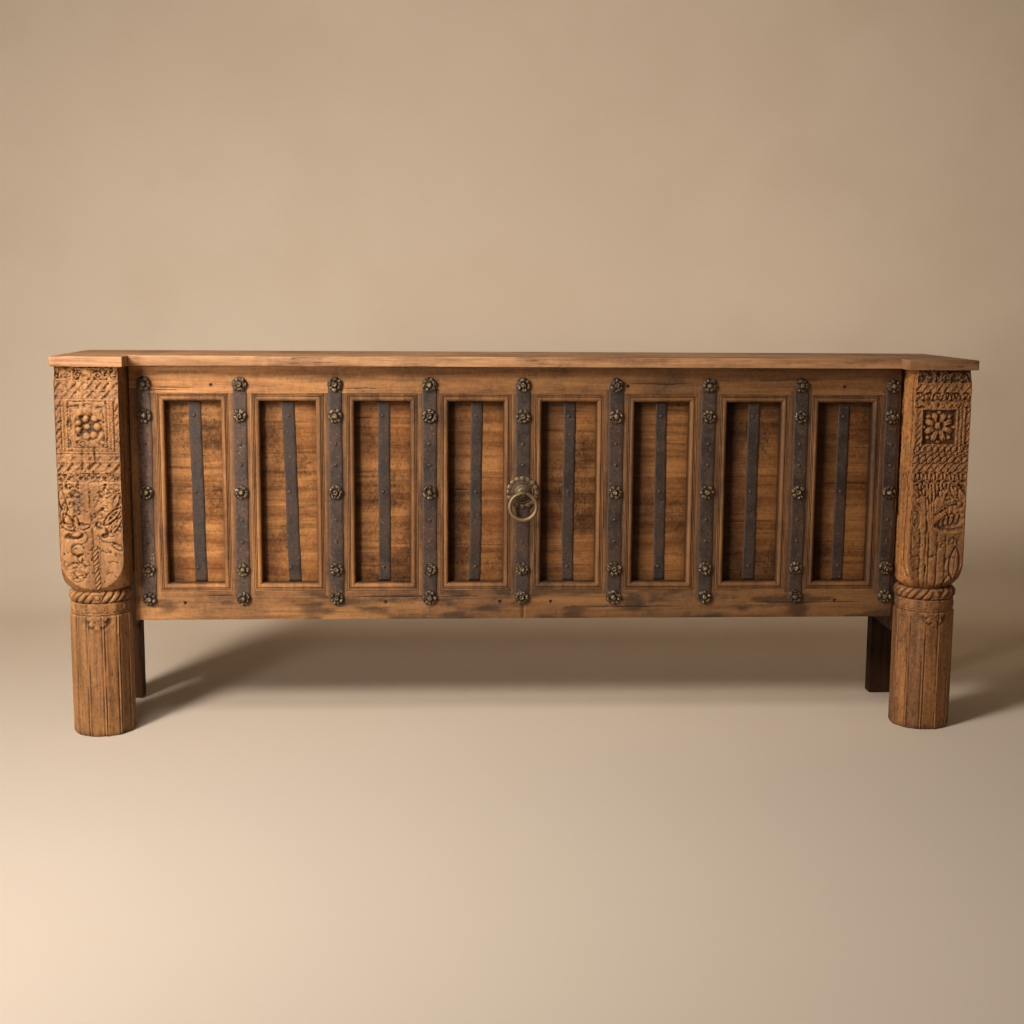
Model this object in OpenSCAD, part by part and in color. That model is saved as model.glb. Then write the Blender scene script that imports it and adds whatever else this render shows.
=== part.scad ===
// Console table whose front is an old iron-strapped door leaf laid on its side.
// Two carved antique column capitals stand in front as legs, plain legs stand at the back.
// All sizes in mm. +Z is up, the front faces -Y, the floor is Z = 0.

/* [Overall] */
// Width of the table top
overall_w = 2150; // [2040:5:2300]
// Depth of the table top over the ears
overall_d = 405; // [380:1:480]
// Height of the table top
overall_h = 900; // [860:1:960]

/* [Table top] */
// Thickness of the top planks
top_t = 24; // [18:1:34]
// Width of the ear over each carved post
ear_w = 167; // [160:1:190]
// How far the ears stand out in front of the middle
ear_out = 68; // [50:1:80]
// Radius of the eased front edge
top_edge_r = 4; // [2:0.5:6]
// Gap between neighbouring top planks
top_plank_gap = 1.2; // [0.8:0.1:2]

/* [Carved posts] */
// Width of the left capital
left_post_w = 148; // [136:1:156]
// Width of the right capital
right_post_w = 136; // [130:1:150]
// Depth of both capitals
post_d = 147; // [138:1:154]
// Set-back of the posts from the front of the ears
post_setback = 20; // [12:1:30]
// Set-back of the posts from the ends of the top
post_side_inset = 6; // [3:1:14]
// Diameter across the corners of the twelve-sided shaft
shaft_dia = 145; // [136:1:150]
// Radius of the groove along each corner of the shaft
shaft_groove_r = 2.4; // [1.5:0.1:3.2]
// Height of the collar
collar_h = 29; // [24:1:34]
// Height of the rope ring
rope_h = 29; // [24:1:34]
// Diameter of the rope ring
rope_dia = 147; // [143:1:150]
// Number of strands round the rope ring
rope_strands = 22; // [18:1:26]
// Height of the rounded foot of the capital
cushion_h = 82; // [70:1:90]
// Height of the leaf field above the rounded foot
field_h = 157; // [148:1:170]
// Height of the crown band
crown_h = 32; // [26:1:36]
// Height of each slanted leaf band
slant_h = 17; // [14:0.5:19]
// Height of the square frame field
frame_h = 124; // [116:1:130]
// Height of the plain band under the frame
plain_h = 19; // [15:1:22]
// Height of the bead band
bead_h = 20; // [17:1:22]
// Height of each line between the bands
line_h = 3; // [2:0.5:4]
// Depth of the carving on the faces
carve_d = 4.5; // [3:0.5:6]
// Number of slanted leaves in a band
slant_n = 8; // [6:1:9]
// Depth of the sunk square below the carving
frame_in = 5; // [4:0.5:7]

/* [Door leaf] */
// Height of the door leaf
leaf_h = 614; // [590:1:640]
// Set-back of the door face from the front of the posts
door_setback = 97; // [88:1:104]
// Thickness of the rails and bars
frame_t = 26; // [22:0.5:30]
// Gap between the door leaf and the left post
left_gap = 2; // [1:0.5:4]
// Gap between the door leaf and the right post
right_gap = 4; // [2:0.5:8]
// Height of the top rail
top_rail_h = 66; // [60:1:72]
// Height of the bottom rail
bottom_rail_h = 71; // [64:1:78]
// Distance from the leaf's left end to the middle of the first bar
bar_end_l = 35; // [31:1:40]
// Distance from the leaf's right end to the middle of the last bar
bar_end_r = 21; // [20:1:26]
// Width of the bars
bar_w = 54; // [48:1:60]
// Length of the stub tenon at each end of a bar
tenon_l = 12; // [8:1:18]
// Thickness of the stub tenons
tenon_t = 10; // [8:0.5:12]
// Clearance round the stub tenons
tenon_clear = 0.2; // [0.15:0.05:0.4]
// Number of planks behind the frame
plank_n = 4; // [4:1:4]
// Gap between neighbouring planks
plank_gap = 1.2; // [0.8:0.1:2]
// Width of the mouldings round the panels
moulding_w = 19; // [17:0.5:21]
// Open joint at the mitres of the mouldings
mitre_gap = 0.4; // [0.3:0.1:0.8]
// Radius of the bead along the mouldings
moulding_bead_r = 3; // [2.5:0.1:3.2]
// Diameter of the old peg holes in the rails
peg_hole_dia = 9; // [6:0.5:11]
// Depth of the old peg holes
peg_hole_depth = 12; // [6:1:16]

/* [Iron and brass] */
// Width of the iron straps on the bars
strap_w = 36; // [30:1:40]
// Thickness of the iron straps
strap_t = 3; // [2:0.5:4]
// Width of the iron straps on the panels
panel_strap_w = 31; // [26:1:36]
// Gap from a panel strap's end to the moulding
panel_strap_gap = 1.5; // [1:0.5:4]
// Diameter of the rosette studs
stud_dia = 38; // [34:1:42]
// Height of the rosette studs
stud_h = 13; // [10:0.5:15]
// Diameter of the nail heads
nail_dia = 9; // [7:0.5:11]
// Height of the nail heads
nail_h = 3; // [2:0.5:4]
// Diameter of the handle's back plate
plate_dia = 80; // [74:1:86]
// Thickness of the handle's back plate
plate_t = 4; // [3:0.5:5]
// Number of scallops round the back plate
plate_scallops = 16; // [14:1:18]
// Outside diameter of the pull ring
ring_dia = 74; // [66:1:82]
// Thickness of the pull ring
ring_wire = 10; // [8:0.5:11]
// Clearance between the pull ring and its eye
ring_clear = 0.6; // [0.4:0.1:0.8]
// Thickness of the eye that carries the ring
eye_t = 8; // [6:0.5:9]

/* [Back and sides] */
// Width of the rear legs
rear_leg_w = 72; // [60:1:90]
// Thickness of the rear legs
rear_leg_t = 40; // [34:1:46]
// Set-back of the rear legs from the back of the top
rear_leg_inset = 3; // [2:1:10]
// Distance from the end of the top to the outer face of a rear leg
rear_leg_end = 46; // [33:1:58]
// Thickness of the side boards
side_t = 24; // [18:1:30]
// Height of the side boards
side_h = 669; // [646:1:686]
// Height of the rail between the rear legs
rear_rail_h = 70; // [50:1:100]
// Thickness of the rail between the rear legs
rear_rail_t = 25; // [20:1:30]
// Width and height of the bearers under the top
bearer_s = 40; // [30:1:50]

/* [Hidden] */
$fn = 48;

// Main planes
y_front = -overall_d / 2;
y_back = overall_d / 2;
top_z = overall_h - top_t;
plank_d = (overall_d - 2 * top_plank_gap) / 3;

// Posts
post_y = y_front + post_setback;
post_yc = post_y + post_d / 2;
post_back = post_y + post_d;
left_out = -overall_w / 2 + post_side_inset;
left_in = left_out + left_post_w;
left_xc = (left_out + left_in) / 2;
right_out = overall_w / 2 - post_side_inset;
right_in = right_out - right_post_w;
right_xc = (right_out + right_in) / 2;
// carving scale, 1 at the usual depth of the post, and 1 at the usual height of the leaf field
k = post_d / 147;
fk = field_h / 157;
band_h = crown_h + 3 * slant_h + frame_h + plain_h + bead_h + 7 * line_h;
foot_h = cushion_h + 20 * k;
shaft_h = top_z - band_h - field_h - foot_h - rope_h - collar_h;
collar_z = shaft_h;
rope_z = collar_z + collar_h;
vase_z = rope_z + rope_h;
crown_z = top_z - crown_h;
slant1_z = crown_z - line_h - slant_h;
slant2_z = slant1_z - line_h - slant_h;
frame_z = slant2_z - line_h - frame_h;
plain_z = frame_z - line_h - plain_h;
slant3_z = plain_z - line_h - slant_h;
bead_z = slant3_z - line_h - bead_h;
field_z = bead_z - line_h;
field_lo = vase_z + foot_h;

// Door leaf
door_y = post_y + door_setback;
plank_y = door_y + frame_t;
plank_t = post_back - plank_y;
door_x0 = left_in + left_gap;
door_x1 = right_in - right_gap;
door_bottom = top_z - leaf_h;
leaf_w = door_x1 - door_x0;
bar_pitch = (leaf_w - bar_end_l - bar_end_r) / 8;
open_z0 = door_bottom + bottom_rail_h;
open_z1 = top_z - top_rail_h;
plank_h = (top_z - door_bottom - (plank_n - 1) * plank_gap) / plank_n;
panel_z0 = open_z0 + moulding_w;
panel_z1 = open_z1 - moulding_w;
handle_z = (open_z0 + open_z1) / 2 + 2;
stud_in = stud_dia * 0.9;
stud_z = [open_z1 + top_rail_h * 0.33, panel_z1 - stud_in, handle_z, panel_z0 + stud_in,
  open_z0 - bottom_rail_h * 0.25];
top_holes = [for (t = [0.104, 0.64, 0.925]) door_x0 + leaf_w * t];
bottom_holes = [for (t = [0.064, 0.325, 0.475, 0.542, 0.923]) door_x0 + leaf_w * t];
function bar_x(i) = door_x0 + bar_end_l + i * bar_pitch;
function bar_lo(i) = i == 0 ? door_x0 : bar_x(i) - bar_w / 2;
function bar_hi(i) = i == 8 ? door_x1 : bar_x(i) + bar_w / 2;
function panel_lo(i) = bar_hi(i);
function panel_hi(i) = bar_lo(i + 1);

// Back
rear_leg_x = overall_w / 2 - rear_leg_end - rear_leg_w;
side_bottom = top_z - side_h;

// Handle
strap_y = door_y - strap_t;
dome_r = plate_dia * 0.27;
dome_h = 12;
plate_y = strap_y - plate_t;
eye_r = ring_wire / 2 + ring_clear;
eye_out_r = eye_r + 4.5;
pivot_y = plate_y - dome_h - eye_r - 2;
ring_r = (ring_dia - ring_wire) / 2;

// Table top planks
module edged_plank(x0, x1, y0, y1, front) {
  r = front ? top_edge_r : 0;
  translate([x0, 0, 0])
  rotate([90, 0, 90])
  linear_extrude(x1 - x0) {
    translate([y0 + r, top_z])
    square([y1 - y0 - r, top_t]);
    if (front) {
      translate([y0, top_z + r])
      square([r, top_t - 2 * r]);
      translate([y0 + r, top_z + r])
      circle(r);
      translate([y0 + r, top_z + top_t - r])
      circle(r);
    }
  }
}
module top_plank_front() color("peru") {
  edged_plank(-overall_w / 2, overall_w / 2, y_front + ear_out, y_front + plank_d, true);
  edged_plank(-overall_w / 2, -overall_w / 2 + ear_w, y_front, y_front + ear_out + 20, true);
  edged_plank(overall_w / 2 - ear_w, overall_w / 2, y_front, y_front + ear_out + 20, true);
}
module top_plank_middle() color("peru")
  edged_plank(-overall_w / 2, overall_w / 2, -plank_d / 2, plank_d / 2, false);
module top_plank_back() color("peru")
  edged_plank(-overall_w / 2, overall_w / 2, y_back - plank_d, y_back, false);

// Leaf outline with a point at each end
module lens(len, wid) {
  r = (len * len + wid * wid) / (4 * wid);
  intersection() {
    translate([r - wid / 2, 0])
    circle(r, $fn = 96);
    translate([wid / 2 - r, 0])
    circle(r, $fn = 96);
  }
}
module ring_2d(a, b, s, t)
  difference() {
    square([a, b], center = true);
    square([a - 2 * s, b - 2 * t], center = true);
  }
// Band of leaning leaves
module slant_band(w, z)
  difference() {
    translate([-w / 2, z])
    square([w, slant_h]);
    for (j = [0 : slant_n - 1])
      translate([-w / 2 + w * (j + 0.5) / slant_n, z + slant_h / 2])
      rotate(-38)
      square([4.4 * k, slant_h * 0.84], center = true);
  }
// Upper carving of one face as an outline, from the top down to the vase's shoulder
module upper_art(w) {
  translate([-w / 2, crown_z])
  square([w, 5 * k]);
  translate([-w / 2, top_z - 4 * k])
  square([w, 4 * k]);
  for (j = [0 : 5])
    translate([-w / 2 + w * (j + 0.5) / 6, crown_z + 15 * k])
    difference() {
      circle(w * 0.074);
      translate([2 * k, 1.5 * k])
      circle(w * 0.034);
    }
  slant_band(w, slant1_z);
  slant_band(w, slant2_z);
  slant_band(w, slant3_z);
  translate([0, frame_z + frame_h / 2]) {
    ring_2d(w, frame_h, 7 * k, 4 * k);
    difference() {
      ring_2d(w - 20 * k, frame_h - 13 * k, 12 * k, 5 * k);
      for (s = [-1, 1], j = [-3 : 3])
        translate([s * (w / 2 - 16 * k), j * 13 * k])
        rotate(-45)
        square([3 * k, 10 * k], center = true);
    }
    ring_2d(w - 50 * k, frame_h - 28 * k, 4 * k, 2.5 * k);
  }
  translate([-w / 2, plain_z])
  square([w, plain_h]);
  for (j = [0 : 8])
    translate([-w / 2 + w * (j + 0.5) / 9, bead_z + bead_h / 2])
    circle(w * 0.046);
  // vase shoulder, neck and mouth
  intersection() {
    translate([0, field_lo - 22 * fk])
    circle(w * 0.47, $fn = 96);
    translate([-w / 2, field_lo])
    square([w, 80 * fk]);
  }
  translate([-11 * k, field_lo + 35 * fk])
  square([22 * k, 42 * fk]);
  mouth_lo = field_lo + 72 * fk;
  mouth_hi = field_lo + 92 * fk;
  polygon([[-12 * k, mouth_lo], [12 * k, mouth_lo], [w * 0.2, mouth_hi], [-w * 0.2, mouth_hi]]);
  translate([0, field_lo + 122 * fk])
  lens(50 * fk, 15 * fk);
  for (s = [-1, 1]) {
    translate([s * w * 0.14, field_lo + 122 * fk])
    rotate(-s * 22)
    lens(54 * fk, 14 * fk);
    translate([s * w * 0.4, field_z - 42 * fk])
    rotate(s * 10)
    lens(72 * fk, 20 * fk);
    translate([s * w * 0.4, field_lo + 58 * fk])
    rotate(-s * 16)
    lens(52 * fk, 17 * fk);
    translate([s * w * 0.25, field_lo + 41 * fk])
    difference() {
      circle(w * 0.108);
      circle(w * 0.062);
    }
    translate([s * w * 0.25, field_lo + 41 * fk])
    circle(w * 0.03);
  }
}
// Lower carving of one face, the vase's body with a plaited stem
module lower_art(w)
  difference() {
    translate([-w / 2, vase_z])
    square([w, field_lo - vase_z]);
    for (j = [0 : 5])
      translate([w * 0.03, vase_z + 17 * k + j * 14 * k])
      rotate(-38)
      square([3.6 * k, 15 * k], center = true);
    for (s = [-1, 1])
      translate([w * 0.03 + s * 9 * k, vase_z + 50 * k])
      square([1.6 * k, 78 * k], center = true);
  }

// One carved post, side is -1 for the left and 1 for the right
module carved_post(xc, w, side, balls) {
  c = carve_d;
  ws = post_d - c;
  module core(z0, z1)
    translate([side < 0 ? xc - w / 2 + c : xc - w / 2, post_y + c, z0])
    cube([w - c, post_d - c, z1 - z0]);
  module front_face()
    translate([xc, post_y + c, 0])
    rotate([90, 0, 0])
    children();
  module outer_face()
    translate([xc + side * (w / 2 - c), post_y + c + ws / 2, 0])
    rotate([0, 0, side * 90])
    rotate([90, 0, 0])
    children();
  module pocket(a)
    translate([0, frame_z + frame_h / 2, -frame_in])
    linear_extrude(frame_in + 1)
    square([a - 58 * k, frame_h - 33 * k], center = true);
  module rosette()
    translate([0, frame_z + frame_h / 2, -frame_in]) {
      for (j = [0 : (balls ? 6 : 7)])
        rotate(j * 360 / (balls ? 7 : 8)) {
          if (balls)
            translate([0, 22 * k, 2 * k])
            sphere(9 * k);
          else
            translate([0, 21 * k, -k])
            linear_extrude(frame_in)
            lens(33 * k, 13 * k);
        }
      translate([0, 0, 2 * k])
      sphere(9 * k);
    }
  difference() {
    core(field_lo, top_z);
    front_face()
    pocket(w);
    outer_face()
    pocket(ws);
  }
  front_face() {
    linear_extrude(c)
    upper_art(w);
    rosette();
  }
  outer_face() {
    linear_extrude(c)
    upper_art(ws);
    rosette();
  }
  // rounded foot of the capital
  intersection() {
    union() {
      core(vase_z, field_lo);
      front_face()
      linear_extrude(c)
      lower_art(w);
      outer_face()
      linear_extrude(c)
      lower_art(ws);
    }
    translate([xc, post_yc, vase_z + cushion_h])
    sphere(sqrt(w * w + post_d * post_d) / 2 + 2 * k, $fn = 96);
  }
  // rope ring with slanted strands
  difference() {
    translate([xc, post_yc, rope_z]) {
      cylinder(d1 = rope_dia - 14 * k, d2 = rope_dia, h = rope_h * 0.28, $fn = 96);
      translate([0, 0, rope_h * 0.28])
      cylinder(d = rope_dia, h = rope_h * 0.44, $fn = 96);
      translate([0, 0, rope_h * 0.72])
      cylinder(d1 = rope_dia, d2 = rope_dia - 14 * k, h = rope_h * 0.28, $fn = 96);
    }
    for (j = [0 : rope_strands - 1])
      translate([xc, post_yc, rope_z + rope_h / 2])
      rotate([0, 0, j * 360 / rope_strands])
      translate([0, -rope_dia / 2, 0])
      rotate([0, 36, 0])
      cube([3.2 * k, 9 * k, rope_h * 0.9], center = true);
  }
  // collar with a line round it, a bead on every side and a hanging leaf in front
  translate([xc, post_yc, collar_z]) {
    cylinder(d = rope_dia - 7 * k, h = 5 * k, $fn = 96);
    cylinder(d = rope_dia - 12 * k, h = collar_h, $fn = 96);
    translate([0, 0, 8 * k])
    cylinder(d = rope_dia - 7 * k, h = collar_h - 8 * k, $fn = 96);
    for (j = [0 : 11])
      rotate([0, 0, j * 30])
      translate([0, -rope_dia / 2 + 6 * k, collar_h * 0.62])
      rotate([90, 0, 0])
      cylinder(r = 7 * k, h = 5 * k);
  }
  translate([xc, post_yc - rope_dia / 2 + 6 * k, collar_z - 12 * k])
  rotate([90, 0, 0])
  linear_extrude(5 * k)
  lens(40 * k, 18 * k);
  // twelve-sided shaft with a groove along every corner
  translate([xc, post_yc, 0])
  linear_extrude(shaft_h)
  difference() {
    rotate(15)
    circle(d = shaft_dia, $fn = 12);
    for (k = [0 : 11])
      rotate(k * 30 + 15)
      translate([shaft_dia / 2, 0])
      circle(shaft_groove_r);
  }
}
module left_carved_post() color("burlywood") carved_post(left_xc, left_post_w, -1, true);
module right_carved_post() color("burlywood") carved_post(right_xc, right_post_w, 1, false);

// Door leaf
module tenon(i, c, z, h)
  translate([(bar_lo(i) + bar_hi(i)) / 2 - bar_w * 0.3 - c, door_y + frame_t / 2 - tenon_t / 2 - c, z])
  cube([bar_w * 0.6 + 2 * c, tenon_t + 2 * c, h]);
module rail(z, h)
  translate([door_x0, door_y, z])
  cube([door_x1 - door_x0, frame_t, h]);
module peg_hole(x, z)
  translate([x, door_y - 1, z])
  rotate([-90, 0, 0])
  cylinder(d = peg_hole_dia, h = peg_hole_depth + 1);
module door_top_rail() color("sienna")
  difference() {
    rail(open_z1, top_rail_h);
    for (i = [0 : 8])
      tenon(i, tenon_clear, open_z1 - 1, tenon_l + 1 + tenon_clear);
    for (x = top_holes)
      peg_hole(x, open_z1 + top_rail_h * 0.3);
  }
module door_bottom_rail() color("sienna")
  difference() {
    rail(door_bottom, bottom_rail_h);
    for (i = [0 : 8])
      tenon(i, tenon_clear, open_z0 - tenon_l - tenon_clear, tenon_l + 1 + tenon_clear);
    for (x = bottom_holes)
      peg_hole(x, door_bottom + bottom_rail_h * 0.6);
  }
module bar(i) color("sienna") {
  translate([bar_lo(i), door_y, open_z0])
  cube([bar_hi(i) - bar_lo(i), frame_t, open_z1 - open_z0]);
  tenon(i, 0, open_z0 - tenon_l, open_z1 - open_z0 + 2 * tenon_l);
}
module plank(i) color("saddlebrown")
  translate([door_x0, plank_y, door_bottom + i * (plank_h + plank_gap)])
  cube([door_x1 - door_x0, plank_t, plank_h]);

// Moulding strip along local X, the outer edge is v = 0 and v grows towards the panel
module strip(len) {
  r = moulding_bead_r;
  q = moulding_w - 12;
  intersection() {
    rotate([90, 0, 90])
    linear_extrude(len) {
      translate([0, 0])
      square([frame_t, 4]);
      translate([2.5, 4])
      square([frame_t - 2.5, 2]);
      translate([r + 0.5, 6])
      square([frame_t - r - 0.5, 6]);
      translate([r + 0.5, 9])
      circle(r);
      translate([6, 12])
      square([frame_t - 6, 1.2]);
      translate([14, 12])
      square([frame_t - 14, q]);
      translate([14, 12])
      circle(q);
    }
    rotate([90, 0, 0])
    translate([0, 0, -frame_t - 1])
    linear_extrude(frame_t + 2)
    polygon([[mitre_gap, 0], [len - mitre_gap, 0], [len - moulding_w - mitre_gap, moulding_w],
      [moulding_w + mitre_gap, moulding_w]]);
  }
}
module moulding(i) color("chocolate") {
  w = panel_hi(i) - panel_lo(i);
  h = open_z1 - open_z0;
  translate([panel_lo(i), door_y, open_z0])
  strip(w);
  translate([panel_hi(i), door_y, open_z1])
  rotate([0, 180, 0])
  strip(w);
  translate([panel_lo(i), door_y, open_z1])
  rotate([0, 90, 0])
  strip(h);
  translate([panel_hi(i), door_y, open_z0])
  rotate([0, -90, 0])
  strip(h);
}

// Iron straps
module bar_strap(i) color("dimgray") {
  z0 = stud_z[4];
  z1 = stud_z[0];
  translate([bar_x(i) - strap_w / 2, strap_y, z0])
  cube([strap_w, strap_t, z1 - z0]);
  for (z = [z0, z1])
    translate([bar_x(i), door_y, z])
    rotate([90, 0, 0])
    cylinder(d = strap_w, h = strap_t);
}
module panel_strap(i) color("dimgray")
  translate([(panel_lo(i) + panel_hi(i)) / 2 - panel_strap_w / 2, plank_y - strap_t, panel_z0 + panel_strap_gap])
  cube([panel_strap_w, strap_t, panel_z1 - panel_z0 - 2 * panel_strap_gap]);

// Brass rosette stud with eight petals, its back is local y = 0
module stud() rotate([90, 0, 0]) {
  linear_extrude(4) {
    circle(stud_dia * 0.37);
    for (k = [0 : 7])
      rotate(k * 45)
      translate([stud_dia * 0.35, 0])
      circle(stud_dia * 0.15, $fn = 24);
  }
  translate([0, 0, 3])
  cylinder(r1 = stud_dia * 0.3, r2 = stud_dia * 0.2, h = stud_h - 7);
  translate([0, 0, stud_h - 6])
  cylinder(r1 = stud_dia * 0.15, r2 = stud_dia * 0.09, h = 6);
}
module rosette_studs() color("darkgoldenrod")
  for (i = [0 : 8], k = [0 : 4])
    if (i != 4 || k != 2)
      translate([bar_x(i), strap_y, stud_z[k]])
      stud();
module nail() rotate([90, 0, 0]) {
  cylinder(d = nail_dia, h = nail_h * 0.4, $fn = 24);
  translate([0, 0, nail_h * 0.4])
  cylinder(d1 = nail_dia, d2 = nail_dia * 0.5, h = nail_h * 0.6, $fn = 24);
}
module strap_nails() color("gray") {
  for (i = [0 : 8], t = [0.36, 0.64])
    for (k = [1, 2])
      translate([bar_x(i), strap_y, stud_z[k] * (1 - t) + stud_z[k + 1] * t])
      nail();
  for (i = [0 : 7], t = [0.08, 0.5, 0.92])
    translate([(panel_lo(i) + panel_hi(i)) / 2, plank_y - strap_t, panel_z0 + (panel_z1 - panel_z0) * t])
    nail();
}

// Ring pull on the middle bar
module handle_plate() color("goldenrod")
  translate([bar_x(4), strap_y, handle_z])
  rotate([90, 0, 0])
  difference() {
    union() {
      cylinder(d = plate_dia - 8, h = plate_t, $fn = 96);
      for (k = [0 : plate_scallops - 1])
        rotate(k * 360 / plate_scallops)
        translate([plate_dia / 2 - 6, 0, 0])
        cylinder(r = 6, h = plate_t - 1, $fn = 24);
      translate([0, 0, plate_t])
      cylinder(r1 = dome_r, r2 = dome_r * 0.5, h = dome_h);
    }
    translate([0, 0, -1])
    cylinder(r = 4.2, h = plate_t + dome_h + 2);
  }
module handle_eye() color("goldenrod") {
  difference() {
    translate([bar_x(4) - eye_t / 2, pivot_y, handle_z])
    rotate([0, 90, 0])
    cylinder(r = eye_out_r, h = eye_t);
    translate([bar_x(4) - eye_t, pivot_y, handle_z])
    rotate([0, 90, 0])
    cylinder(r = eye_r, h = eye_t * 2);
    translate([bar_x(4) - eye_t, plate_y - dome_h, handle_z - 20])
    cube([eye_t * 2, 40, 40]);
  }
  difference() {
    translate([bar_x(4), strap_y, handle_z])
    rotate([90, 0, 0])
    cylinder(r = 4, h = strap_y - pivot_y - eye_r - 1);
    translate([bar_x(4) - eye_t, pivot_y, handle_z])
    rotate([0, 90, 0])
    cylinder(r = eye_r, h = eye_t * 2);
  }
}
module pull_ring() color("gold")
  translate([bar_x(4), pivot_y, handle_z - ring_r])
  rotate([90, 0, 0])
  rotate_extrude($fn = 96)
  translate([ring_r, 0])
  circle(d = ring_wire);

// Back and sides
module rear_leg(side) color("saddlebrown")
  translate([side < 0 ? -rear_leg_x - rear_leg_w : rear_leg_x, y_back - rear_leg_inset - rear_leg_t, 0])
  cube([rear_leg_w, rear_leg_t, top_z]);
module rear_leg_left() rear_leg(-1);
module rear_leg_right() rear_leg(1);
module side_board(side) color("sienna")
  translate([side < 0 ? -rear_leg_x - side_t : rear_leg_x, post_back, side_bottom])
  cube([side_t, y_back - rear_leg_inset - rear_leg_t - post_back, top_z - side_bottom]);
module side_board_left() side_board(-1);
module side_board_right() side_board(1);
module rear_rail() color("saddlebrown")
  translate([-rear_leg_x, y_back - rear_leg_inset - rear_leg_t, top_z - rear_rail_h])
  cube([2 * rear_leg_x, rear_rail_t, rear_rail_h]);
module top_bearer(side) color("saddlebrown")
  translate([side * overall_w * 0.16 - bearer_s / 2, post_back, top_z - bearer_s])
  cube([bearer_s, y_back - rear_leg_inset - rear_leg_t - post_back, bearer_s]);
module top_bearer_left() top_bearer(-1);
module top_bearer_right() top_bearer(1);

top_plank_front();
top_plank_middle();
top_plank_back();
left_carved_post();
right_carved_post();
door_top_rail();
door_bottom_rail();
bar(0);  // door_bar_1
bar(1);  // door_bar_2
bar(2);  // door_bar_3
bar(3);  // door_bar_4
bar(4);  // door_bar_5
bar(5);  // door_bar_6
bar(6);  // door_bar_7
bar(7);  // door_bar_8
bar(8);  // door_bar_9
plank(0);  // door_plank_1
plank(1);  // door_plank_2
plank(2);  // door_plank_3
plank(3);  // door_plank_4
moulding(0);  // panel_moulding_1
moulding(1);  // panel_moulding_2
moulding(2);  // panel_moulding_3
moulding(3);  // panel_moulding_4
moulding(4);  // panel_moulding_5
moulding(5);  // panel_moulding_6
moulding(6);  // panel_moulding_7
moulding(7);  // panel_moulding_8
bar_strap(0);  // bar_strap_1
bar_strap(1);  // bar_strap_2
bar_strap(2);  // bar_strap_3
bar_strap(3);  // bar_strap_4
bar_strap(4);  // bar_strap_5
bar_strap(5);  // bar_strap_6
bar_strap(6);  // bar_strap_7
bar_strap(7);  // bar_strap_8
bar_strap(8);  // bar_strap_9
panel_strap(0);  // panel_strap_1
panel_strap(1);  // panel_strap_2
panel_strap(2);  // panel_strap_3
panel_strap(3);  // panel_strap_4
panel_strap(4);  // panel_strap_5
panel_strap(5);  // panel_strap_6
panel_strap(6);  // panel_strap_7
panel_strap(7);  // panel_strap_8
rosette_studs();
strap_nails();
handle_plate();
handle_eye();
pull_ring();
rear_leg_left();
rear_leg_right();
side_board_left();
side_board_right();
rear_rail();
top_bearer_left();
top_bearer_right();
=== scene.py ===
import math
import bpy
import numpy as np
from mathutils import Matrix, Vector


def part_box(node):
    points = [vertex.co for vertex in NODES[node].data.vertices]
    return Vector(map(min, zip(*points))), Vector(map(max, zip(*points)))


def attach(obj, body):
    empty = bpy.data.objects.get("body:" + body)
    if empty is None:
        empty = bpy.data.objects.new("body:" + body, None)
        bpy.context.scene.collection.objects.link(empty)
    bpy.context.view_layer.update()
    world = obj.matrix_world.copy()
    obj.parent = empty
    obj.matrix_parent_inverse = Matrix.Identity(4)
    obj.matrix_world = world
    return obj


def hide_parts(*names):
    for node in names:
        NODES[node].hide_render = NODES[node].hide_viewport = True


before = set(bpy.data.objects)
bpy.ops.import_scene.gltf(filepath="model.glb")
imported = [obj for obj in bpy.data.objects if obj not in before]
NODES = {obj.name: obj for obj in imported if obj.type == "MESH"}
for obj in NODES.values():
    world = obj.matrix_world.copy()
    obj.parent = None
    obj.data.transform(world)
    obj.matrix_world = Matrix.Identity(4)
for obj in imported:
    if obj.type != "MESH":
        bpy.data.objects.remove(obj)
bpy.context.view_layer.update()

SCENE = bpy.context.scene

# Sizes in mm, as in the CAD part
POST_D, POST_Y = 147.0, -109.0
FOOT_Z, HEAD_Z = 350.0, 876.0
SHAFT_R, SHAFT_FLAT = 70, 70.03
PIVOT_X, PIVOT_Y, PIVOT_Z = 12.0, -112.1, 573.5
RING_R = 32.0
STRIP_W = 19.0
BARS, PANELS = 9, 8
# Radius and depth of the small holes in the rails
HOLE_R, HOLE_D = 3.6, 2.5
# Grid lines close to a board's edges, for its rounding
EDGE_LINES = (0.7, 1.8, 3.6)


# Noise and profiles

def lattice(i, j, k, seed):
    h = (i * 374761393 + j * 668265263 + k * 1440662683 + seed * 974634593) & 0xFFFFFFFF
    h = ((h ^ (h >> 13)) * 1274126177) & 0xFFFFFFFF
    h = ((h ^ (h >> 15)) * 668265263) & 0xFFFFFFFF
    return ((h ^ (h >> 16)) & 0xFFFF) / 32767.5 - 1.0


def noise(x, y, z, seed):
    """Smooth noise from -1 to 1"""
    x, y, z = np.broadcast_arrays(x, y, z)
    i, j, k = (np.floor(a).astype(np.int64) for a in (x, y, z))
    u, v, w = (t * t * (3 - 2 * t) for t in (x - i, y - j, z - k))
    out = 0
    for di in (0, 1):
        for dj in (0, 1):
            for dk in (0, 1):
                share = (u if di else 1 - u) * (v if dj else 1 - v) * (w if dk else 1 - w)
                out = out + share * lattice(i + di + 5000, j + dj + 5000, k + dk + 5000, seed)
    return out


def fbm(x, y, z, seed, octaves):
    """Noise in octaves of half the size and strength"""
    out, amp, total = 0, 1.0, 0.0
    for o in range(octaves):
        out = out + amp * noise(x * 2 ** o, y * 2 ** o, z * 2 ** o, seed + 17 * o)
        total += amp
        amp *= 0.5
    return out / total


def unit(x):
    return np.clip(x, 0, 1)


def step(a, b, x):
    t = unit((x - a) / (b - a))
    return t * t * (3 - 2 * t)


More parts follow.
